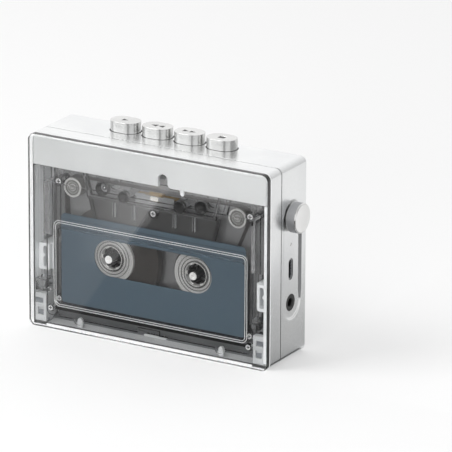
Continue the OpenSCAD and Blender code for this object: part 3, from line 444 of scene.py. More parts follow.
def join_loops(drawn, loops, capped=False, smooth=False):
    """Faces between each loop of points and the next: closed by flat caps, or back to the first loop."""
    if capped:
        drawn.faces.new(loops[0])
        drawn.faces.new(loops[-1])
    count = len(loops[0])
    for here, there in zip(loops, loops[1:] if capped else loops[1:] + loops[:1]):
        for i in range(count):
            j = (i + 1) % count
            drawn.faces.new((here[i], here[j], there[j], there[i])).smooth = smooth


def prism(drawn, outline, low, high, place):
    """Solid over a flat outline, from low to high; place turns (u, v, height) into x, y and z."""
    join_loops(drawn, [[drawn.verts.new(place(u, v, h)) for u, v in outline] for h in (low, high)], capped=True)


def lathe(drawn, profile, steps, place):
    """Ring turned from a closed profile of (radius, height) points."""
    rings = []
    for k in range(steps):
        turn = 2 * math.pi * k / steps
        rings.append([drawn.verts.new(place(r * math.cos(turn), r * math.sin(turn), h)) for r, h in profile])
    join_loops(drawn, rings, smooth=True)


def draw_band(drawn, inner, outer, low, high, place):
    """Closed band between two outlines of as many points, from low to high."""
    join_loops(drawn, [[drawn.verts.new(place(u, v, h)) for u, v in outline]
                       for outline, h in ((inner, low), (outer, low), (outer, high), (inner, high))])


def cut_top(x, low, high, cut):
    """Outline from -x to x with its upper corners cut."""
    return [(-x, low), (x, low), (x, high - cut), (x - cut, high), (cut - x, high), (-x, high - cut)]


def cut_corners(x0, x1, z0, z1, cut):
    """Outline with all four corners cut."""
    return [(x0 + cut, z0), (x1 - cut, z0), (x1, z0 + cut), (x1, z1 - cut), (x1 - cut, z1), (x0 + cut, z1),
            (x0, z1 - cut), (x0, z0 + cut)]


def facing(x, z):
    """Places (u, v, height) on an upright plane: u to the right of x, v above z, height as depth."""
    return lambda u, v, h: (x + u, h, z + v)


def lying(x, y):
    """Places (u, v, height) on a level plane round (x, y)."""
    return lambda u, v, h: (x + u, y + v, h)


def along(u, v, h):
    """Places an outline of depths and heights along the width."""
    return h, u, v


# Upright plane with x and z as they are
UPRIGHT = facing(0.0, 0.0)

# Rounding of a raised ring in mm, and the steps round rings and other turned pieces
RING_ROUND = 0.06
RING_STEPS = 48
TURN_STEPS = 40


def draw_rings(drawn, rings, front, back, place):
    """Raised rings round one middle, each from an inner to an outer radius."""
    for inner, outer in rings:
        profile = [(inner, front + RING_ROUND), (inner + RING_ROUND, front), (outer - RING_ROUND, front),
                   (outer, front + RING_ROUND), (outer, back), (inner, back)]
        lathe(drawn, profile, RING_STEPS, place)


def obround(width, depth, steps=24):
    """Outline with straight long sides and round ends, about its middle."""
    r = depth / 2
    arcs = [(side, math.pi * k / steps) for side in (1, -1) for k in range(steps + 1)]
    return [(side * (width / 2 - r + r * math.sin(a)), -side * r * math.cos(a)) for side, a in arcs]


# Bright tips of the spindles and the capstan's rounded end: radius and depth from the tip along each profile
SPINDLE_END = [(0.05, -0.12), (0.5, -0.12), (0.85, -0.38), (1.6, -0.38), (1.8, -0.25), (1.8, -0.02), (0.05, -0.02)]
CAPSTAN_X = -24.8
CAPSTAN_Z = 67.0
CAPSTAN_TIP = FRONT + 8.48
CAPSTAN_END = [(0.05, -1.3), (0.45, -1.24), (0.8, -1.0), (0.95, -0.65), (0.95, 0.0), (0.05, 0.0)]


def add_end(name, body, slot, profile, tip, x, z):
    """Turned end on a shaft that points at the door."""
    points = [(r, tip + h) for r, h in profile]
    add_piece(name, body, finishes[slot], lambda drawn: lathe(drawn, points, TURN_STEPS, facing(x, z)))


for side, shaft in ((-1, "takeup_shaft"), (1, "supply_shaft")):
    add_end(shaft + "_tip", shaft, "white_acetal", SPINDLE_END, SPINDLE_TIP, side * HUB_X, HUB_Z)
add_end("capstan_end", "flywheel_set", "steel", CAPSTAN_END, CAPSTAN_TIP, CAPSTAN_X, CAPSTAN_Z)

# Black rings in the gaps round the keys, painted as the gaps' shade, and black fills at the bottom of the signs cut
# into them, painted as the signs' shade
KEYS = ("play", "rewind", "forward", "stop")
KEY_W = 14.0
KEY_D = 10.0
BODY_TOP = 88.0
GAP_SHADE_IN = 0.07
GAP_SHADE_OUT = 0.39
GAP_SHADE_TOP = BODY_TOP - 0.06
GAP_SHADE_FOOT = BODY_TOP - 1.3
SIGN_W = 3.05
SIGN_H = 2.75
SIGN_SHIFT = 1.7
SIGN_DEPTH = 0.3
SIGN_SHADE_LOW = 0.02
SIGN_SHADE_HIGH = 0.12


def draw_gap_shade(drawn, x, y):
    """Black ring that fills the gap between a key and the case, painted as the gap's shade."""
    inner, outer = [obround(KEY_W + 2 * grow, KEY_D + 2 * grow) for grow in (GAP_SHADE_IN, GAP_SHADE_OUT)]
    draw_band(drawn, inner, outer, GAP_SHADE_TOP, GAP_SHADE_FOOT, lying(x, y))


def draw_sign(drawn, key, x, y, top):
    """Flat black fill at the bottom of a key's sign, painted as the shade of its engraving."""
    half, rise = SIGN_W / 2, SIGN_H / 2
    place = lying(x, y)
    low, high = top - SIGN_DEPTH + SIGN_SHADE_LOW, top - SIGN_DEPTH + SIGN_SHADE_HIGH
    if key == "stop":
        prism(drawn, [(-half, -rise), (half, -rise), (half, rise), (-half, rise)], low, high, place)
        return
    point = -1 if key == "rewind" else 1
    for shift in ((0.0,) if key == "play" else (-1.0, 1.0)):
        middle = shift * SIGN_SHIFT
        prism(drawn, [(middle - point * half, -rise), (middle + point * half, 0.0), (middle - point * half, rise)],
              low, high, place)


for key in KEYS:
    low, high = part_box(key + "_key")
    x, y, top = (low.x + high.x) / 2 / MM, (low.y + high.y) / 2 / MM, high.z / MM
    add_piece(key + "_seal", "case", finishes["black_rubber"],
              lambda drawn, x=x, y=y: draw_gap_shade(drawn, x, y))
    add_piece(key + "_sign", key, finishes["black_plastic"],
              lambda drawn, key=key, x=x, y=y, top=top: draw_sign(drawn, key, x, y, top))

# Black seal in the seam between the door and the case, along the top
SEAM_X = 54.8
SEAM_LOW = 86.6
SEAM_HIGH = 87.86
SEAM_FRONT = FRONT + 11.86
SEAM_BACK = FRONT + 12.22
SEAM_CUT = 0.4


def draw_seam(drawn):
    """Strip with cut upper corners."""
    prism(drawn, cut_top(SEAM_X, SEAM_LOW, SEAM_HIGH, SEAM_CUT), SEAM_FRONT, SEAM_BACK, UPRIGHT)


add_piece("seam_seal", "case", finishes["black_rubber"], draw_seam)

# Springs under the keys, drawn as coils
COIL_R = 1.9
COIL_WIRE = 0.25
COIL_TURNS = 4
COIL_STEPS = 28
COIL_SIDES = 8


def draw_coil(drawn, x, y, low, high):
    """Round wire along a helix from low to high, closed at both ends."""
    count = COIL_TURNS * COIL_STEPS
    rings = []
    for k in range(count + 1):
        turn = 2 * math.pi * k / COIL_STEPS
        z = low + COIL_WIRE + (high - low - 2 * COIL_WIRE) * k / count
        ring = []
        for side in range(COIL_SIDES):
            a = 2 * math.pi * side / COIL_SIDES
            r = COIL_R + COIL_WIRE * math.cos(a)
            point = (x + r * math.cos(turn), y + r * math.sin(turn), z + COIL_WIRE * math.sin(a))
            ring.append(drawn.verts.new(point))
        rings.append(ring)
    join_loops(drawn, rings, capped=True, smooth=True)


for key in KEYS:
    low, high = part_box(key + "_spring")
    x, y = (low.x + high.x) / 2 / MM, (low.y + high.y) / 2 / MM
    coil = add_piece(key + "_coil", "case", finishes["steel"],
                     lambda drawn, x=x, y=y, low=low, high=high: draw_coil(drawn, x, y, low.z / MM, high.z / MM))
    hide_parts(key + "_spring")
    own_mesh(coil)

# Black crosses painted as shade in the cross recesses of the screws that face the door, and black rings painted as
# the shade of their counterbores: places across and up, and the depth of each recess
CASSETTE_SCREWS = ((-48.0, 12.6), (48.0, 12.6), (-48.0, 66.2), (48.0, 66.2), (0.0, 59.5))
CASSETTE_RECESS = FRONT + 7.66
HOLDER_SCREWS = ((-49.8, 9.1), (49.8, 9.1))
HOLDER_RECESS = FRONT + 3.61
CROSS_ARM = 0.85
CROSS_HALF = 0.21
CROSS_RISE = 0.3
CROSS_SUNK = 0.07
SHADE_RING = (1.72, 2.15)
SHADE_RING_FRONT = FRONT + 7.03
SHADE_RING_BACK = FRONT + 7.13


def draw_screw_shade(drawn):
    """Black plus signs painted as shade in the screws' recesses, and a black ring painted as counterbore shade round
    each screw of the cassette.
    """
    a, b = CROSS_ARM, CROSS_HALF
    plus = [(-b, -a), (b, -a), (b, -b), (a, -b), (a, b), (b, b), (b, a), (-b, a), (-b, b), (-a, b), (-a, -b),
            (-b, -b)]
    for screws, y in ((CASSETTE_SCREWS, CASSETTE_RECESS), (HOLDER_SCREWS, HOLDER_RECESS)):
        for x, z in screws:
            prism(drawn, plus, y - CROSS_RISE, y + CROSS_SUNK, facing(x, z))
    for x, z in CASSETTE_SCREWS:
        draw_rings(drawn, (SHADE_RING,), SHADE_RING_FRONT, SHADE_RING_BACK, facing(x, z))


add_piece("screw_recess_shade", "door", finishes["black_plastic"], draw_screw_shade)

# Inside the cassette: a dark sheet with dark rims over the tape, painted as the shade of the head end, pale strips
# painted as highlights on the ribs' edges, and dark wells in the head end
SHEET_LOW = 50.0
SHEET_HIGH = 61.9
SHEET_LOW_X = 30.0
SHEET_HIGH_X = 33.0
SHEET_FRONT = FRONT + 9.35
SHEET_BACK = FRONT + 9.47
RIM_W = 1.4
RIM_FRONT = FRONT + 8.3
BOSS_Z = 59.5
BOSS_CLEAR = 2.1
BOSS_STEPS = 16
RIB_X = (-20.0, -10.3, 10.3, 20.0)
RIB_LOW = 54.6
RIB_HIGH = 61.4
RIB_NEAR = 0.38
RIB_FAR = 0.6
RIB_FRONT = FRONT + 8.2
RIB_BACK = FRONT + 9.3
WELL_FRONT = FRONT + 5.6
WELL_BACK = FRONT + 8.1
WELL_WALL = 0.35
# Place across and up, radius and bore of each well
WELLS = [(14.0, 65.2, 2.55, 0.05), (-CAPSTAN_X, CAPSTAN_Z, 3.05, 0.05), (-14.0, 65.2, 2.55, 0.05),
         (CAPSTAN_X, CAPSTAN_Z, 3.05, 1.9)]


def draw_sheet(drawn):
    """Dark film painted as shade, with slanted ends and a notch round the screw's boss."""
    notch = [(BOSS_CLEAR * math.cos(a), BOSS_Z + BOSS_CLEAR * math.sin(a))
             for a in [-math.pi * k / BOSS_STEPS for k in range(BOSS_STEPS + 1)]]
    outline = [(-SHEET_LOW_X, SHEET_LOW), (SHEET_LOW_X, SHEET_LOW), (SHEET_HIGH_X, SHEET_HIGH),
               (BOSS_CLEAR, SHEET_HIGH)] + notch + [(-BOSS_CLEAR, SHEET_HIGH), (-SHEET_HIGH_X, SHEET_HIGH)]
    prism(drawn, outline, SHEET_FRONT, SHEET_BACK, UPRIGHT)


def draw_rims(drawn):
    """Dark upright rims along the sheet's slanted ends, painted as the shade of the slanted walls."""
    for side in (-1, 1):
        outline = [(side * (SHEET_LOW_X - RIM_W), SHEET_LOW), (side * SHEET_LOW_X, SHEET_LOW),
                   (side * SHEET_HIGH_X, SHEET_HIGH), (side * (SHEET_HIGH_X - RIM_W), SHEET_HIGH)]
        prism(drawn, outline, RIM_FRONT, SHEET_FRONT, UPRIGHT)


def draw_rib_highlights(drawn):
    """Pale strip on both sides of each rib, painted as its edge highlight."""
    for x in RIB_X:
        for side in (-1, 1):
            outline = [(x + side * RIB_NEAR, RIB_LOW), (x + side * RIB_FAR, RIB_LOW), (x + side * RIB_FAR, RIB_HIGH),
                       (x + side * RIB_NEAR, RIB_HIGH)]
            prism(drawn, outline, RIB_FRONT, RIB_BACK, UPRIGHT)


def draw_wells(drawn):
    """Dark cups in the holes of the head end; the one round the capstan has a bore for it."""
    for x, z, r, bore in WELLS:
        inner, floor = r - WELL_WALL, WELL_BACK - WELL_WALL
        profile = [(r, WELL_FRONT), (r, WELL_BACK), (bore, WELL_BACK), (bore, floor), (inner, floor),
                   (inner, WELL_FRONT)]
        lathe(drawn, profile, TURN_STEPS, facing(x, z))


add_piece("shade_sheet", "door", moulded_plastic("shade_film", "363636", "404040", 0.4, 0.55),
          draw_sheet)
add_piece("shade_sheet_rims", "door", finishes["black_plastic"], draw_rims)
add_piece("rib_highlights", "door", finishes["light_grey_abs"], draw_rib_highlights)
add_piece("head_end_wells", "door", finishes["black_plastic"], draw_wells)

# Pair of pale strips on the back of the holder's plate, round the cassette's pocket, painted as the highlights on the
# edges of its rib
POCKET_X = 48.3
POCKET_LOW = 10.4
POCKET_HIGH = 49.3
POCKET_R = 2.5
POCKET_RIB = 0.55
POCKET_LINE_W = 0.3
POCKET_LINE_GAP = 0.05
POCKET_LINE_FRONT = FRONT + 4.36
POCKET_LINE_BACK = FRONT + 4.66


def pocket_outline(grow, steps=10):
    """Rounded outline of the pocket, grown outwards or, where negative, drawn in."""
    r = POCKET_R + grow
    x, low, high = POCKET_X - POCKET_R, POCKET_LOW + POCKET_R, POCKET_HIGH - POCKET_R
    corners = ((x, high, 0), (-x, high, 1), (-x, low, 2), (x, low, 3))
    turns = [(u, v, math.pi / 2 * (q + k / steps)) for u, v, q in corners for k in range(steps + 1)]
    return [(u + r * math.cos(a), v + r * math.sin(a)) for u, v, a in turns]


def draw_highlight_strips(drawn):
    """One strip outside the other, a rib's width apart."""
    for near in (POCKET_LINE_GAP, -POCKET_RIB - POCKET_LINE_GAP - POCKET_LINE_W):
        draw_band(drawn, pocket_outline(near), pocket_outline(near + POCKET_LINE_W), POCKET_LINE_FRONT, POCKET_LINE_BACK, UPRIGHT)


def highlight_polycarbonate():
    """Pale, half-clear polycarbonate for strips painted as highlights."""
    made, tree, shader = start_material("highlight_polycarbonate", "f0f1f1", Transmission_Weight=0.35, IOR=1.585)
    place = grain(tree, shader, 0.3, 0.25, 0.4, 0.004)
    mottle(tree, shader, place, 8, "eaebeb", "f6f7f7")
    return made


add_piece("pocket_highlights", "door", highlight_polycarbonate(), draw_highlight_strips, edge=0.08)

# Shield plate in the head end of the cassette and the felt in front of it
SHIELD = ((-9.4, 63.4), (-8.4, 62.4), (8.4, 62.4), (9.4, 63.4), (9.8, 67.3), (4.6, 67.3), (4.2, 66.9), (-4.2, 66.9),
          (-4.6, 67.3), (-9.8, 67.3))
SHIELD_FRONT = FRONT + 9.0
SHIELD_BACK = FRONT + 9.25
FELT = cut_corners(-1.9, 1.9, 65.0, 66.9, 0.3)
FELT_FRONT = FRONT + 8.5
FELT_BACK = SHIELD_FRONT + 0.07


def draw_shield(drawn):
    """Plate with cut corners and a shallow notch in its upper edge."""
    prism(drawn, SHIELD, SHIELD_FRONT, SHIELD_BACK, UPRIGHT)


def draw_felt(drawn):
    """Pad with cut corners."""
    prism(drawn, FELT, FELT_FRONT, FELT_BACK, UPRIGHT)


add_piece("shield_plate", "door", moulded_plastic("enamelled_steel", "828384", "8c8d8e", 0.35, 0.45),
          draw_shield)
add_piece("pad_felt", "door", moulded_plastic("wool_felt", "e2dfd8", "ece9e2", 0.85, 0.95), draw_felt)

# Rings on the guide rollers, and dark rings on the hubs' flanges painted as the shade of the flanges' ridges
ROLLER_X = 41.3
ROLLER_Z = 64.2
ROLLER_RINGS = ((3.5, 4.4), (2.4, 2.6), (1.3, 1.6), (0.02, 0.9))
ROLLER_FRONT = FRONT + 8.66
ROLLER_BACK = FRONT + 8.88
HUB_RINGS = ((5.5, 6.2), (7.2, 7.55), (8.7, 8.95))
HUB_RING_FRONT = FRONT + 8.22
HUB_RING_BACK = FRONT + 8.43

ring_acetal = moulded_plastic("ring_acetal", "d0d0ce", "dadad8", 0.3, 0.42)
ring_shade_acetal = moulded_plastic("ring_shade_acetal", "4e4e4d", "585857", 0.3, 0.42)
for side, name, reel in ((-1, "left", "takeup"), (1, "right", "supply")):
    add_piece(name + "_roller_rings", name + "_guide_roller", ring_acetal,
              lambda drawn, x=side * ROLLER_X: draw_rings(drawn, ROLLER_RINGS, ROLLER_FRONT, ROLLER_BACK,
                                                          facing(x, ROLLER_Z)))
    add_piece(reel + "_hub_rings", reel + "_reel", ring_shade_acetal,
              lambda drawn, x=side * HUB_X: draw_rings(drawn, HUB_RINGS, HUB_RING_FRONT, HUB_RING_BACK,
                                                       facing(x, HUB_Z)))

# Knurled grip of the volume knob
KNOB_Y = 5.2
KNOB_Z = 64.0
GRIP_IN = 60.2
GRIP_OUT = 64.55
GRIP_R = 6.6
GRIP_TOOTH = 0.05
GRIP_DROP = 0.1
GRIP_WALL = 0.3
GRIP_COUNT = 144
GRIP_ROWS = 14


def grip_ring(drawn, x, radii):
    """Points round the knob's axis, one for each radius."""
    turns = [2 * math.pi * k / GRIP_COUNT for k in range(GRIP_COUNT)]
    return [drawn.verts.new((x, KNOB_Y + r * math.cos(a), KNOB_Z + r * math.sin(a))) for r, a in zip(radii, turns)]


def draw_grip(drawn):
    """Sleeve of small four-sided points, in rows set half a step apart."""
    end, wall = [GRIP_R - GRIP_DROP] * GRIP_COUNT, [GRIP_R - GRIP_WALL] * GRIP_COUNT
    rings = [grip_ring(drawn, GRIP_IN, end)]
    for row in range(1, GRIP_ROWS):
        x = GRIP_IN + (GRIP_OUT - GRIP_IN) * row / GRIP_ROWS
        rings.append(grip_ring(drawn, x, [GRIP_R + GRIP_TOOTH * ((k + row) % 2) for k in range(GRIP_COUNT)]))
    rings += [grip_ring(drawn, x, radii) for x, radii in ((GRIP_OUT, end), (GRIP_OUT, wall), (GRIP_IN, wall))]
    join_loops(drawn, rings)


add_piece("knob_grip", "volume",
          turned_aluminium("knurled_aluminium", "c0c1c3", "cacbcd", 0.45, 0.55), draw_grip)

# Grey strip painted as shade on the rear slope of the side's recess: the slope's foot and its rise from there, as x
# and y
SLOPE_FLOOR = (59.2, 11.3)
SLOPE_RISE = (0.8, 2.0)
SLOPE_SPAN = (0.12, 0.9)
SLOPE_OUT = (0.04, -0.016)
SLOPE_IN = (-0.06, 0.024)
SLOPE_LOW = 25.4
SLOPE_HIGH = 59.0
SLOPE_SHADE_TAPER = 4.0
SLOPE_SHADE_CUT = 0.5


def draw_slope_shade(drawn):
    """Thin grey strip of painted shade along the slope, tapered below and cut above."""
    def corner(part, offset):
        return tuple(f + part * r + o for f, r, o in zip(SLOPE_FLOOR, SLOPE_RISE, offset))

    start, stop = SLOPE_SPAN
    end = ((3 * start + stop) / 4, (start + 3 * stop) / 4)
    rings = []
    for z, (a, b) in ((SLOPE_LOW, end), (SLOPE_LOW + SLOPE_SHADE_TAPER, SLOPE_SPAN),
                      (SLOPE_HIGH - SLOPE_SHADE_CUT, SLOPE_SPAN), (SLOPE_HIGH, end)):
        section = (corner(a, SLOPE_OUT), corner(b, SLOPE_OUT), corner(b, SLOPE_IN), corner(a, SLOPE_IN))
        rings.append([drawn.verts.new((x, y, z)) for x, y in section])
    join_loops(drawn, rings, capped=True)


add_piece("recess_slope_shade", "case", moulded_plastic("slope_shade_abs", "68696a", "727374", 0.4, 0.5),
          draw_slope_shade)

# Liner inside the door: a sill, ramps behind it in a darker grey painted as shade, tabs with a catch between them,
# and a ribbed sheet on each side
LINER_END = 51.5
LINER_GAP = 5.5
LINER_FOOT = 1.68
LINER_FRONT = FRONT + 3.6
LINER_BACK = FRONT + 11.6
SILL_BACK = FRONT + 8.6
RAMP_FRONT = SILL_BACK + 0.03
# Sections across the door's floor, as depth and height
SILL = [(LINER_FRONT, LINER_FOOT), (LINER_FRONT, 2.05), (FRONT + 6.2, 2.2), (SILL_BACK, 2.66),
        (SILL_BACK, LINER_FOOT)]
RAMP = [(RAMP_FRONT, LINER_FOOT), (RAMP_FRONT, 2.68), (FRONT + 10.6, 3.2), (LINER_BACK, 3.3),
        (LINER_BACK, LINER_FOOT)]
CATCH = [(FRONT + 8.7, 2.4), (FRONT + 8.7, 2.9), (FRONT + 9.2, 3.3), (FRONT + 9.8, 3.3), (FRONT + 9.8, 2.4)]
CATCH_LAP = 0.1
TAB_X = 35.6
TAB_HALF = 1.2
TAB_FOOT = 1.9
TAB_SHOULDER = 5.2
TAB_DEPTH = (FRONT + 4.6, FRONT + 6.0)
TAB_STEPS = 12
SIDE_FRONT = FRONT + 3.6
SIDE_OUT = 58.32
SIDE_IN = 57.98
SIDE_LOW = 4.3
SIDE_HIGH = 72.6
SIDE_RIBS = 4
SIDE_PITCH = 2.2
SIDE_MARGIN = 0.3
SIDE_GROOVE = 0.14
# A rib's two shoulders and its front foot, as depths before its rear foot
SIDE_RIB = (0.2, 1.0, 1.2)


def draw_sill(drawn):
    """Pale sill behind the window's lower edge, over the whole width."""
    prism(drawn, SILL, -LINER_END, LINER_END, along)


def draw_liner(drawn):
    """Ramps behind the sill, left and right of the catch, darker than the sill as painted shade."""
    for x0, x1 in ((-LINER_END, -LINER_GAP), (LINER_GAP, LINER_END)):
        prism(drawn, RAMP, x0, x1, along)


def draw_tabs(drawn):
    """Round-topped tab on each ramp, and the catch's bar between them."""
    prism(drawn, CATCH, -LINER_GAP - CATCH_LAP, LINER_GAP + CATCH_LAP, along)
    turns = [math.pi * k / TAB_STEPS for k in range(TAB_STEPS + 1)]
    arch = [(TAB_HALF * math.cos(a), TAB_SHOULDER + TAB_HALF * math.sin(a)) for a in turns]
    tab = [(TAB_HALF, TAB_FOOT)] + arch + [(-TAB_HALF, TAB_FOOT)]
    for x in (-TAB_X, TAB_X):
        prism(drawn, tab, *TAB_DEPTH, facing(x, 0.0))


def draw_side(drawn, side):
    """Sheet against a side of the door, with shallow upright ribs."""
    steps = [(SIDE_FRONT, SIDE_OUT), (LINER_BACK, SIDE_OUT)]
    groove = SIDE_IN + SIDE_GROOVE
    rear, front, foot = SIDE_RIB
    for k in range(SIDE_RIBS):
        y = LINER_BACK - SIDE_MARGIN - SIDE_PITCH * k
        steps += [(y, groove), (y - rear, SIDE_IN), (y - front, SIDE_IN), (y - foot, groove)]
    steps.append((SIDE_FRONT, groove))
    prism(drawn, [(side * x, y) for y, x in steps], SIDE_LOW, SIDE_HIGH, lying(0.0, 0.0))


# Gasket inside the window's rim, a pale strip painted as the highlight of its right edge, a tab on the band, a dark
# strip painted as the shade behind the ramps, and foam on the chassis
GASKET_X = 58.3
GASKET_W = 0.55
GASKET_LOW = 1.7
GASKET_HIGH = 73.6
GASKET_FRONT = FRONT + 3.14
GASKET_BACK = FRONT + 3.26
EDGE_LIGHT_LOW = 3.0
EDGE_LIGHT_W = 0.9
EDGE_LIGHT_CUT = 0.3
BAND_TAB_X = 15.9
BAND_TAB_R = 1.0
BAND_TAB_Z = 71.7
BAND_TAB_TOP = 76.0
BAND_TAB_FRONT = FRONT + 4.83
BAND_TAB_BACK = FRONT + 5.4
BAND_TAB_STEPS = 10
STRIP_X = 50.5
STRIP_LOW = 3.36
STRIP_HIGH = 8.3
STRIP_FRONT = FRONT + 11.2
STRIP_STEP = 0.15
STRIP_STEP_H = 0.6
FOAM_X = 50.0
FOAM_LOW = 2.2
FOAM_HIGH = 14.0
FOAM_FRONT = FRONT + 17.4
FOAM_BACK = FRONT + 17.98
FOAM_CUT = 1.5


def draw_gasket(drawn):
    """Strip down the left and along the bottom."""
    x, low, high = GASKET_X, GASKET_LOW, GASKET_HIGH
    outline = [(-x, high), (-x, low), (x, low), (x, low + GASKET_W), (GASKET_W - x, low + GASKET_W),
               (GASKET_W - x, high)]
    prism(drawn, outline, GASKET_FRONT, GASKET_BACK, UPRIGHT)


def draw_edge_highlight(drawn):
    """Pale strip up the right, painted as the highlight of the door's inner edge, with cut corners."""
    x, low, high, cut = GASKET_X, EDGE_LIGHT_LOW, GASKET_HIGH, EDGE_LIGHT_CUT
    inner = x - EDGE_LIGHT_W
    outline = [(inner + cut, low), (x, low), (x, high), (inner + cut, high), (inner, high - cut), (inner, low + cut)]
    prism(drawn, outline, GASKET_FRONT, GASKET_BACK, UPRIGHT)


def draw_band_tab(drawn):
    """Rounded tab on the back of the band that shows below its edge."""
    turns = [math.pi * k / BAND_TAB_STEPS for k in range(BAND_TAB_STEPS + 1)]
    outline = [(-BAND_TAB_R * math.cos(a), BAND_TAB_Z - BAND_TAB_R * math.sin(a)) for a in turns]
    outline += [(BAND_TAB_R, BAND_TAB_TOP), (-BAND_TAB_R, BAND_TAB_TOP)]
    prism(drawn, outline, BAND_TAB_FRONT, BAND_TAB_BACK, facing(BAND_TAB_X, 0.0))


def draw_strip(drawn):
    """Dark upright strip on the ramps' back edge, painted as the shade under the cassette, with a step along its top.
    """
    outline = [(STRIP_FRONT, STRIP_LOW), (STRIP_FRONT, STRIP_HIGH - STRIP_STEP_H),
               (STRIP_FRONT + STRIP_STEP, STRIP_HIGH), (LINER_BACK, STRIP_HIGH), (LINER_BACK, STRIP_LOW)]
    prism(drawn, outline, -STRIP_X, STRIP_X, along)


def draw_foam(drawn):
    """Foam pad across the chassis below the cassette, with cut corners."""
    prism(drawn, cut_top(FOAM_X, FOAM_LOW, FOAM_HIGH, FOAM_CUT), FOAM_FRONT, FOAM_BACK, UPRIGHT)


add_piece("chassis_foam", "case", finishes["black_rubber"], draw_foam, edge=0.1)
add_piece("window_gasket", "door", moulded_plastic("grey_rubber", "343434", "3e3e3e", 0.6, 0.8),
          draw_gasket)
add_piece("window_edge_highlight", "door", white_abs, draw_edge_highlight, edge=0.06)
add_piece("band_tab", "door", white_abs, draw_band_tab, edge=0.1)
add_piece("door_shade_strip", "door", moulded_plastic("under_cassette_shade", "484a4b", "525455", 0.4, 0.55),
          draw_strip)
add_piece("door_sill", "door", moulded_plastic("sill_abs", "a8aaab", "b2b4b5", 0.4, 0.55),
          draw_sill, edge=0.12)
add_piece("door_liner", "door", moulded_plastic("shaded_ramp_abs", "5c5e60", "66686a", 0.4, 0.55),
          draw_liner, edge=0.12)
add_piece("door_tabs", "door", finishes["light_grey_abs"], draw_tabs, edge=0.12)
for side, name in ((-1, "left"), (1, "right")):
    add_piece("door_liner_" + name, "door", white_abs,
              lambda drawn, side=side: draw_side(drawn, side))

# Grey plates painted as the shade in the slot and the pocket of each hinge bracket: near and far side, foot and top
# of each
RECESS_SHADE_FRONT = FRONT + 3.92
RECESS_SHADE_BACK = FRONT + 4.08
RECESS_SHADES = [(53.8, 57.7, 10.5, 12.7), (53.62, 56.38, 5.1, 7.3)]
RECESS_SHADE_CUT = 0.3


def draw_recess_shade(drawn):
    """Grey plates with cut corners on the floors of the slots and pockets, painted as their shade."""
    for side in (-1, 1):
        for inlay in RECESS_SHADES:
            outline = [(side * x, z) for x, z in cut_corners(*inlay, RECESS_SHADE_CUT)]
            prism(drawn, outline, RECESS_SHADE_FRONT, RECESS_SHADE_BACK, UPRIGHT)


add_piece("hinge_recess_shade", "case", moulded_plastic("recess_shade_abs", "72767a", "7c8084", 0.4, 0.55),
          draw_recess_shade)

# Floor: half its width in metres, and the share of even white in it
FLOOR_HALF = 3.0
FLOOR_WHITE = 0.25


def white_floor():
    """Matt white studio floor: mostly even white to the eye and in reflections, with the shadow left in."""
    made, tree, shader = start_material("white_floor", "f2f2f2", Roughness=0.9)
    path = add(tree, "LightPath")
    seen = add(tree, "Math", links={0: path.outputs["Is Camera Ray"], 1: path.outputs["Is Glossy Ray"]},
               operation="ADD")
    seen = add(tree, "Math", links={0: seen.outputs["Value"], 1: path.outputs["Is Transmission Ray"]},
               operation="ADD", use_clamp=True)
    share = add(tree, "Math", {1: FLOOR_WHITE}, {0: seen.outputs["Value"]}, operation="MULTIPLY")
    glow = add(tree, "Emission", {"Color": linear("ffffff"), "Strength": 1.0})
    mix = add(tree, "MixShader", links={0: share.outputs["Value"], 1: shader.outputs["BSDF"],
                                        2: glow.outputs["Emission"]})
    tree.links.new(mix.outputs["Shader"], tree.nodes["Material Output"].inputs["Surface"])
    return made


def make_floor():
    """Square floor under the object."""
    mesh = bpy.data.meshes.new("studio_floor")
    corners = [(x, y, 0.0) for x, y in ((-1, -1), (1, -1), (1, 1), (-1, 1))]
    mesh.from_pydata([[c * FLOOR_HALF for c in p] for p in corners], [], [(0, 1, 2, 3)])
    mesh.materials.append(white_floor())
    floor = bpy.data.objects.new("studio_floor", mesh)
    bpy.context.scene.collection.objects.link(floor)


make_floor()

# Cards on the floor beside the object, not seen by the camera: rise in mm, colours, and outlines in metres
CARD_RISE = 0.2
CARDS = {
    "dark_card": ("585858", ((-0.1201, -0.2448), (-0.0556, -0.0592), (-0.042, -0.0195), (0.5, -0.0195), (0.5, -0.9),
                             (-0.348, -0.9))),
    "pale_card": ("969696", ((-0.1201, -0.2448), (-0.348, -0.9), (-0.9, -0.9), (-0.9, -0.0195), (-0.042, -0.0195),
                             (-0.0556, -0.0592))),
    "side_card": ("c4c4c4", ((0.0625, -0.1), (0.125, -0.1), (0.125, 0.35), (0.0625, 0.35))),
    "band_card": ("f0f0f0", ((-0.26, -0.25), (0.0, -0.25), (0.0, -0.203), (-0.26, -0.203))),
    "haze_card": ("f4f4f4", ((-0.1054, -0.2025), (-0.0698, -0.1), (-0.24, -0.1), (-0.24, -0.2025))),
    "edge_card": ("202020", ((0.0602, -0.0165), (0.0625, -0.0165), (0.0625, 0.0165), (0.0602, 0.0165))),
}

# Cards that lie on others and are shaded along one direction: darker colour, and where it starts and ends
GRADES = {
    "band_card": ((1.0, 0.0, 0.0), "101010", -0.2, -0.11),
    "haze_card": ((1.0, -0.6, 0.0), "969696", -0.03, 0.008),
}


def make_card(name, colour, outline):
    """Matt card that the door and the metal reflect in place of the white floor."""
    made = start_material(name, colour, Roughness=0.9)[0]
    rise = CARD_RISE * (2 if name in GRADES else 1)
    mesh = bpy.data.meshes.new(name)
    mesh.from_pydata([(x, y, rise * MM) for x, y in outline], [], [tuple(range(len(outline)))])
    mesh.materials.append(made)
    card = bpy.data.objects.new(name, mesh)
    card.visible_camera = False
    card.visible_diffuse = False
    card.visible_shadow = False
    bpy.context.scene.collection.objects.link(card)


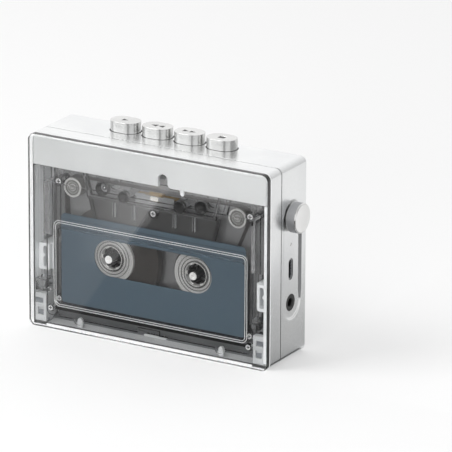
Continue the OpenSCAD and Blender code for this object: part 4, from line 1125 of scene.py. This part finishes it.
def grade_card(name, direction, dark, dark_at, pale_at):
    """Shades a card from a darker colour to its own between two places along one direction, in metres."""
    tree = bpy.data.materials[name].node_tree
    place = add(tree, "TexCoord")
    far = add(tree, "VectorMath", {1: direction}, {0: place.outputs["Object"]}, operation="DOT_PRODUCT")
    across = add(tree, "MapRange", {"From Min": dark_at, "From Max": pale_at}, {"Value": far.outputs["Value"]})
    two_colours(tree, tree.nodes["Principled BSDF"], across.outputs["Result"], dark, CARDS[name][0])


for card_name, (card_colour, card_outline) in CARDS.items():
    make_card(card_name, card_colour, card_outline)
for card_name, grade in GRADES.items():
    grade_card(card_name, *grade)

# World: a wall of light behind and to the left, dim towards the front right
WALL_SIDE = (-0.597, 0.697, 0.398)
WORLD_DIM = 0.5
WORLD_BRIGHT = 1.12
WALL_EDGE = -0.1


def make_world():
    """Even white surroundings, brighter towards the wall."""
    world = bpy.data.worlds.new("studio")
    world.use_nodes = True
    tree = world.node_tree
    sky = tree.nodes["Background"]
    sky.inputs["Color"].default_value = linear("ffffff")
    place = add(tree, "TexCoord")
    toward = add(tree, "VectorMath", {1: WALL_SIDE}, {0: place.outputs["Generated"]}, operation="DOT_PRODUCT")
    level = add(tree, "MapRange", {"From Min": WALL_EDGE, "To Min": WORLD_DIM, "To Max": WORLD_BRIGHT},
                {"Value": toward.outputs["Value"]})
    tree.links.new(level.outputs["Result"], sky.inputs["Strength"])
    bpy.context.scene.world = world


make_world()


def soft_box(name, place, aim, width, height, watts, mirrored=True):
    """Soft lamp at a place in metres that faces a point; unmirrored, it stays out of the metal's reflections."""
    lamp = bpy.data.lights.new(name, "AREA")
    lamp.shape = "RECTANGLE"
    lamp.size = width
    lamp.size_y = height
    lamp.energy = watts
    box = bpy.data.objects.new(name, lamp)
    box.location = place
    box.rotation_mode = "QUATERNION"
    box.rotation_quaternion = (Vector(aim) - Vector(place)).to_track_quat("-Z", "Y")
    box.visible_glossy = mirrored
    bpy.context.scene.collection.objects.link(box)


# Lamps: place, aim, width and height in metres, and power in watts
MIDDLE = (0.0, 0.0, 0.045)
soft_box("key_light", (-0.8, -0.7, 1.2), MIDDLE, 0.8, 0.8, 9)
soft_box("front_light", (-0.96, -1.64, 0.72), MIDDLE, 2.4, 1.2, 7)
soft_box("side_light", (1.3, -1.2, 0.8), MIDDLE, 1.6, 1.6, 5)
soft_box("low_light", (0.5, -2.0, 0.5), MIDDLE, 1.0, 0.6, 14, mirrored=False)


def make_camera():
    """Camera at the photograph's viewing angle."""
    azimuth = math.radians(VIEW_AZIMUTH)
    elevation = math.radians(VIEW_ELEVATION)
    back = Vector((math.sin(azimuth) * math.cos(elevation), -math.cos(azimuth) * math.cos(elevation),
                   math.sin(elevation)))
    lens = bpy.data.cameras.new("photo_camera")
    lens.sensor_fit = "HORIZONTAL"
    lens.sensor_width = SENSOR_MM
    lens.lens = LENS_MM
    lens.clip_start, lens.clip_end = CLIP_M
    camera = bpy.data.objects.new("photo_camera", lens)
    camera.location = VIEW_TARGET + back * VIEW_DISTANCE
    camera.rotation_mode = "QUATERNION"
    roll = Quaternion((0.0, 0.0, 1.0), math.radians(VIEW_ROLL))
    camera.rotation_quaternion = (-back).to_track_quat("-Z", "Y") @ roll
    bpy.context.scene.collection.objects.link(camera)
    bpy.context.scene.camera = camera


make_camera()
bpy.context.scene.view_settings.view_transform = "Standard"
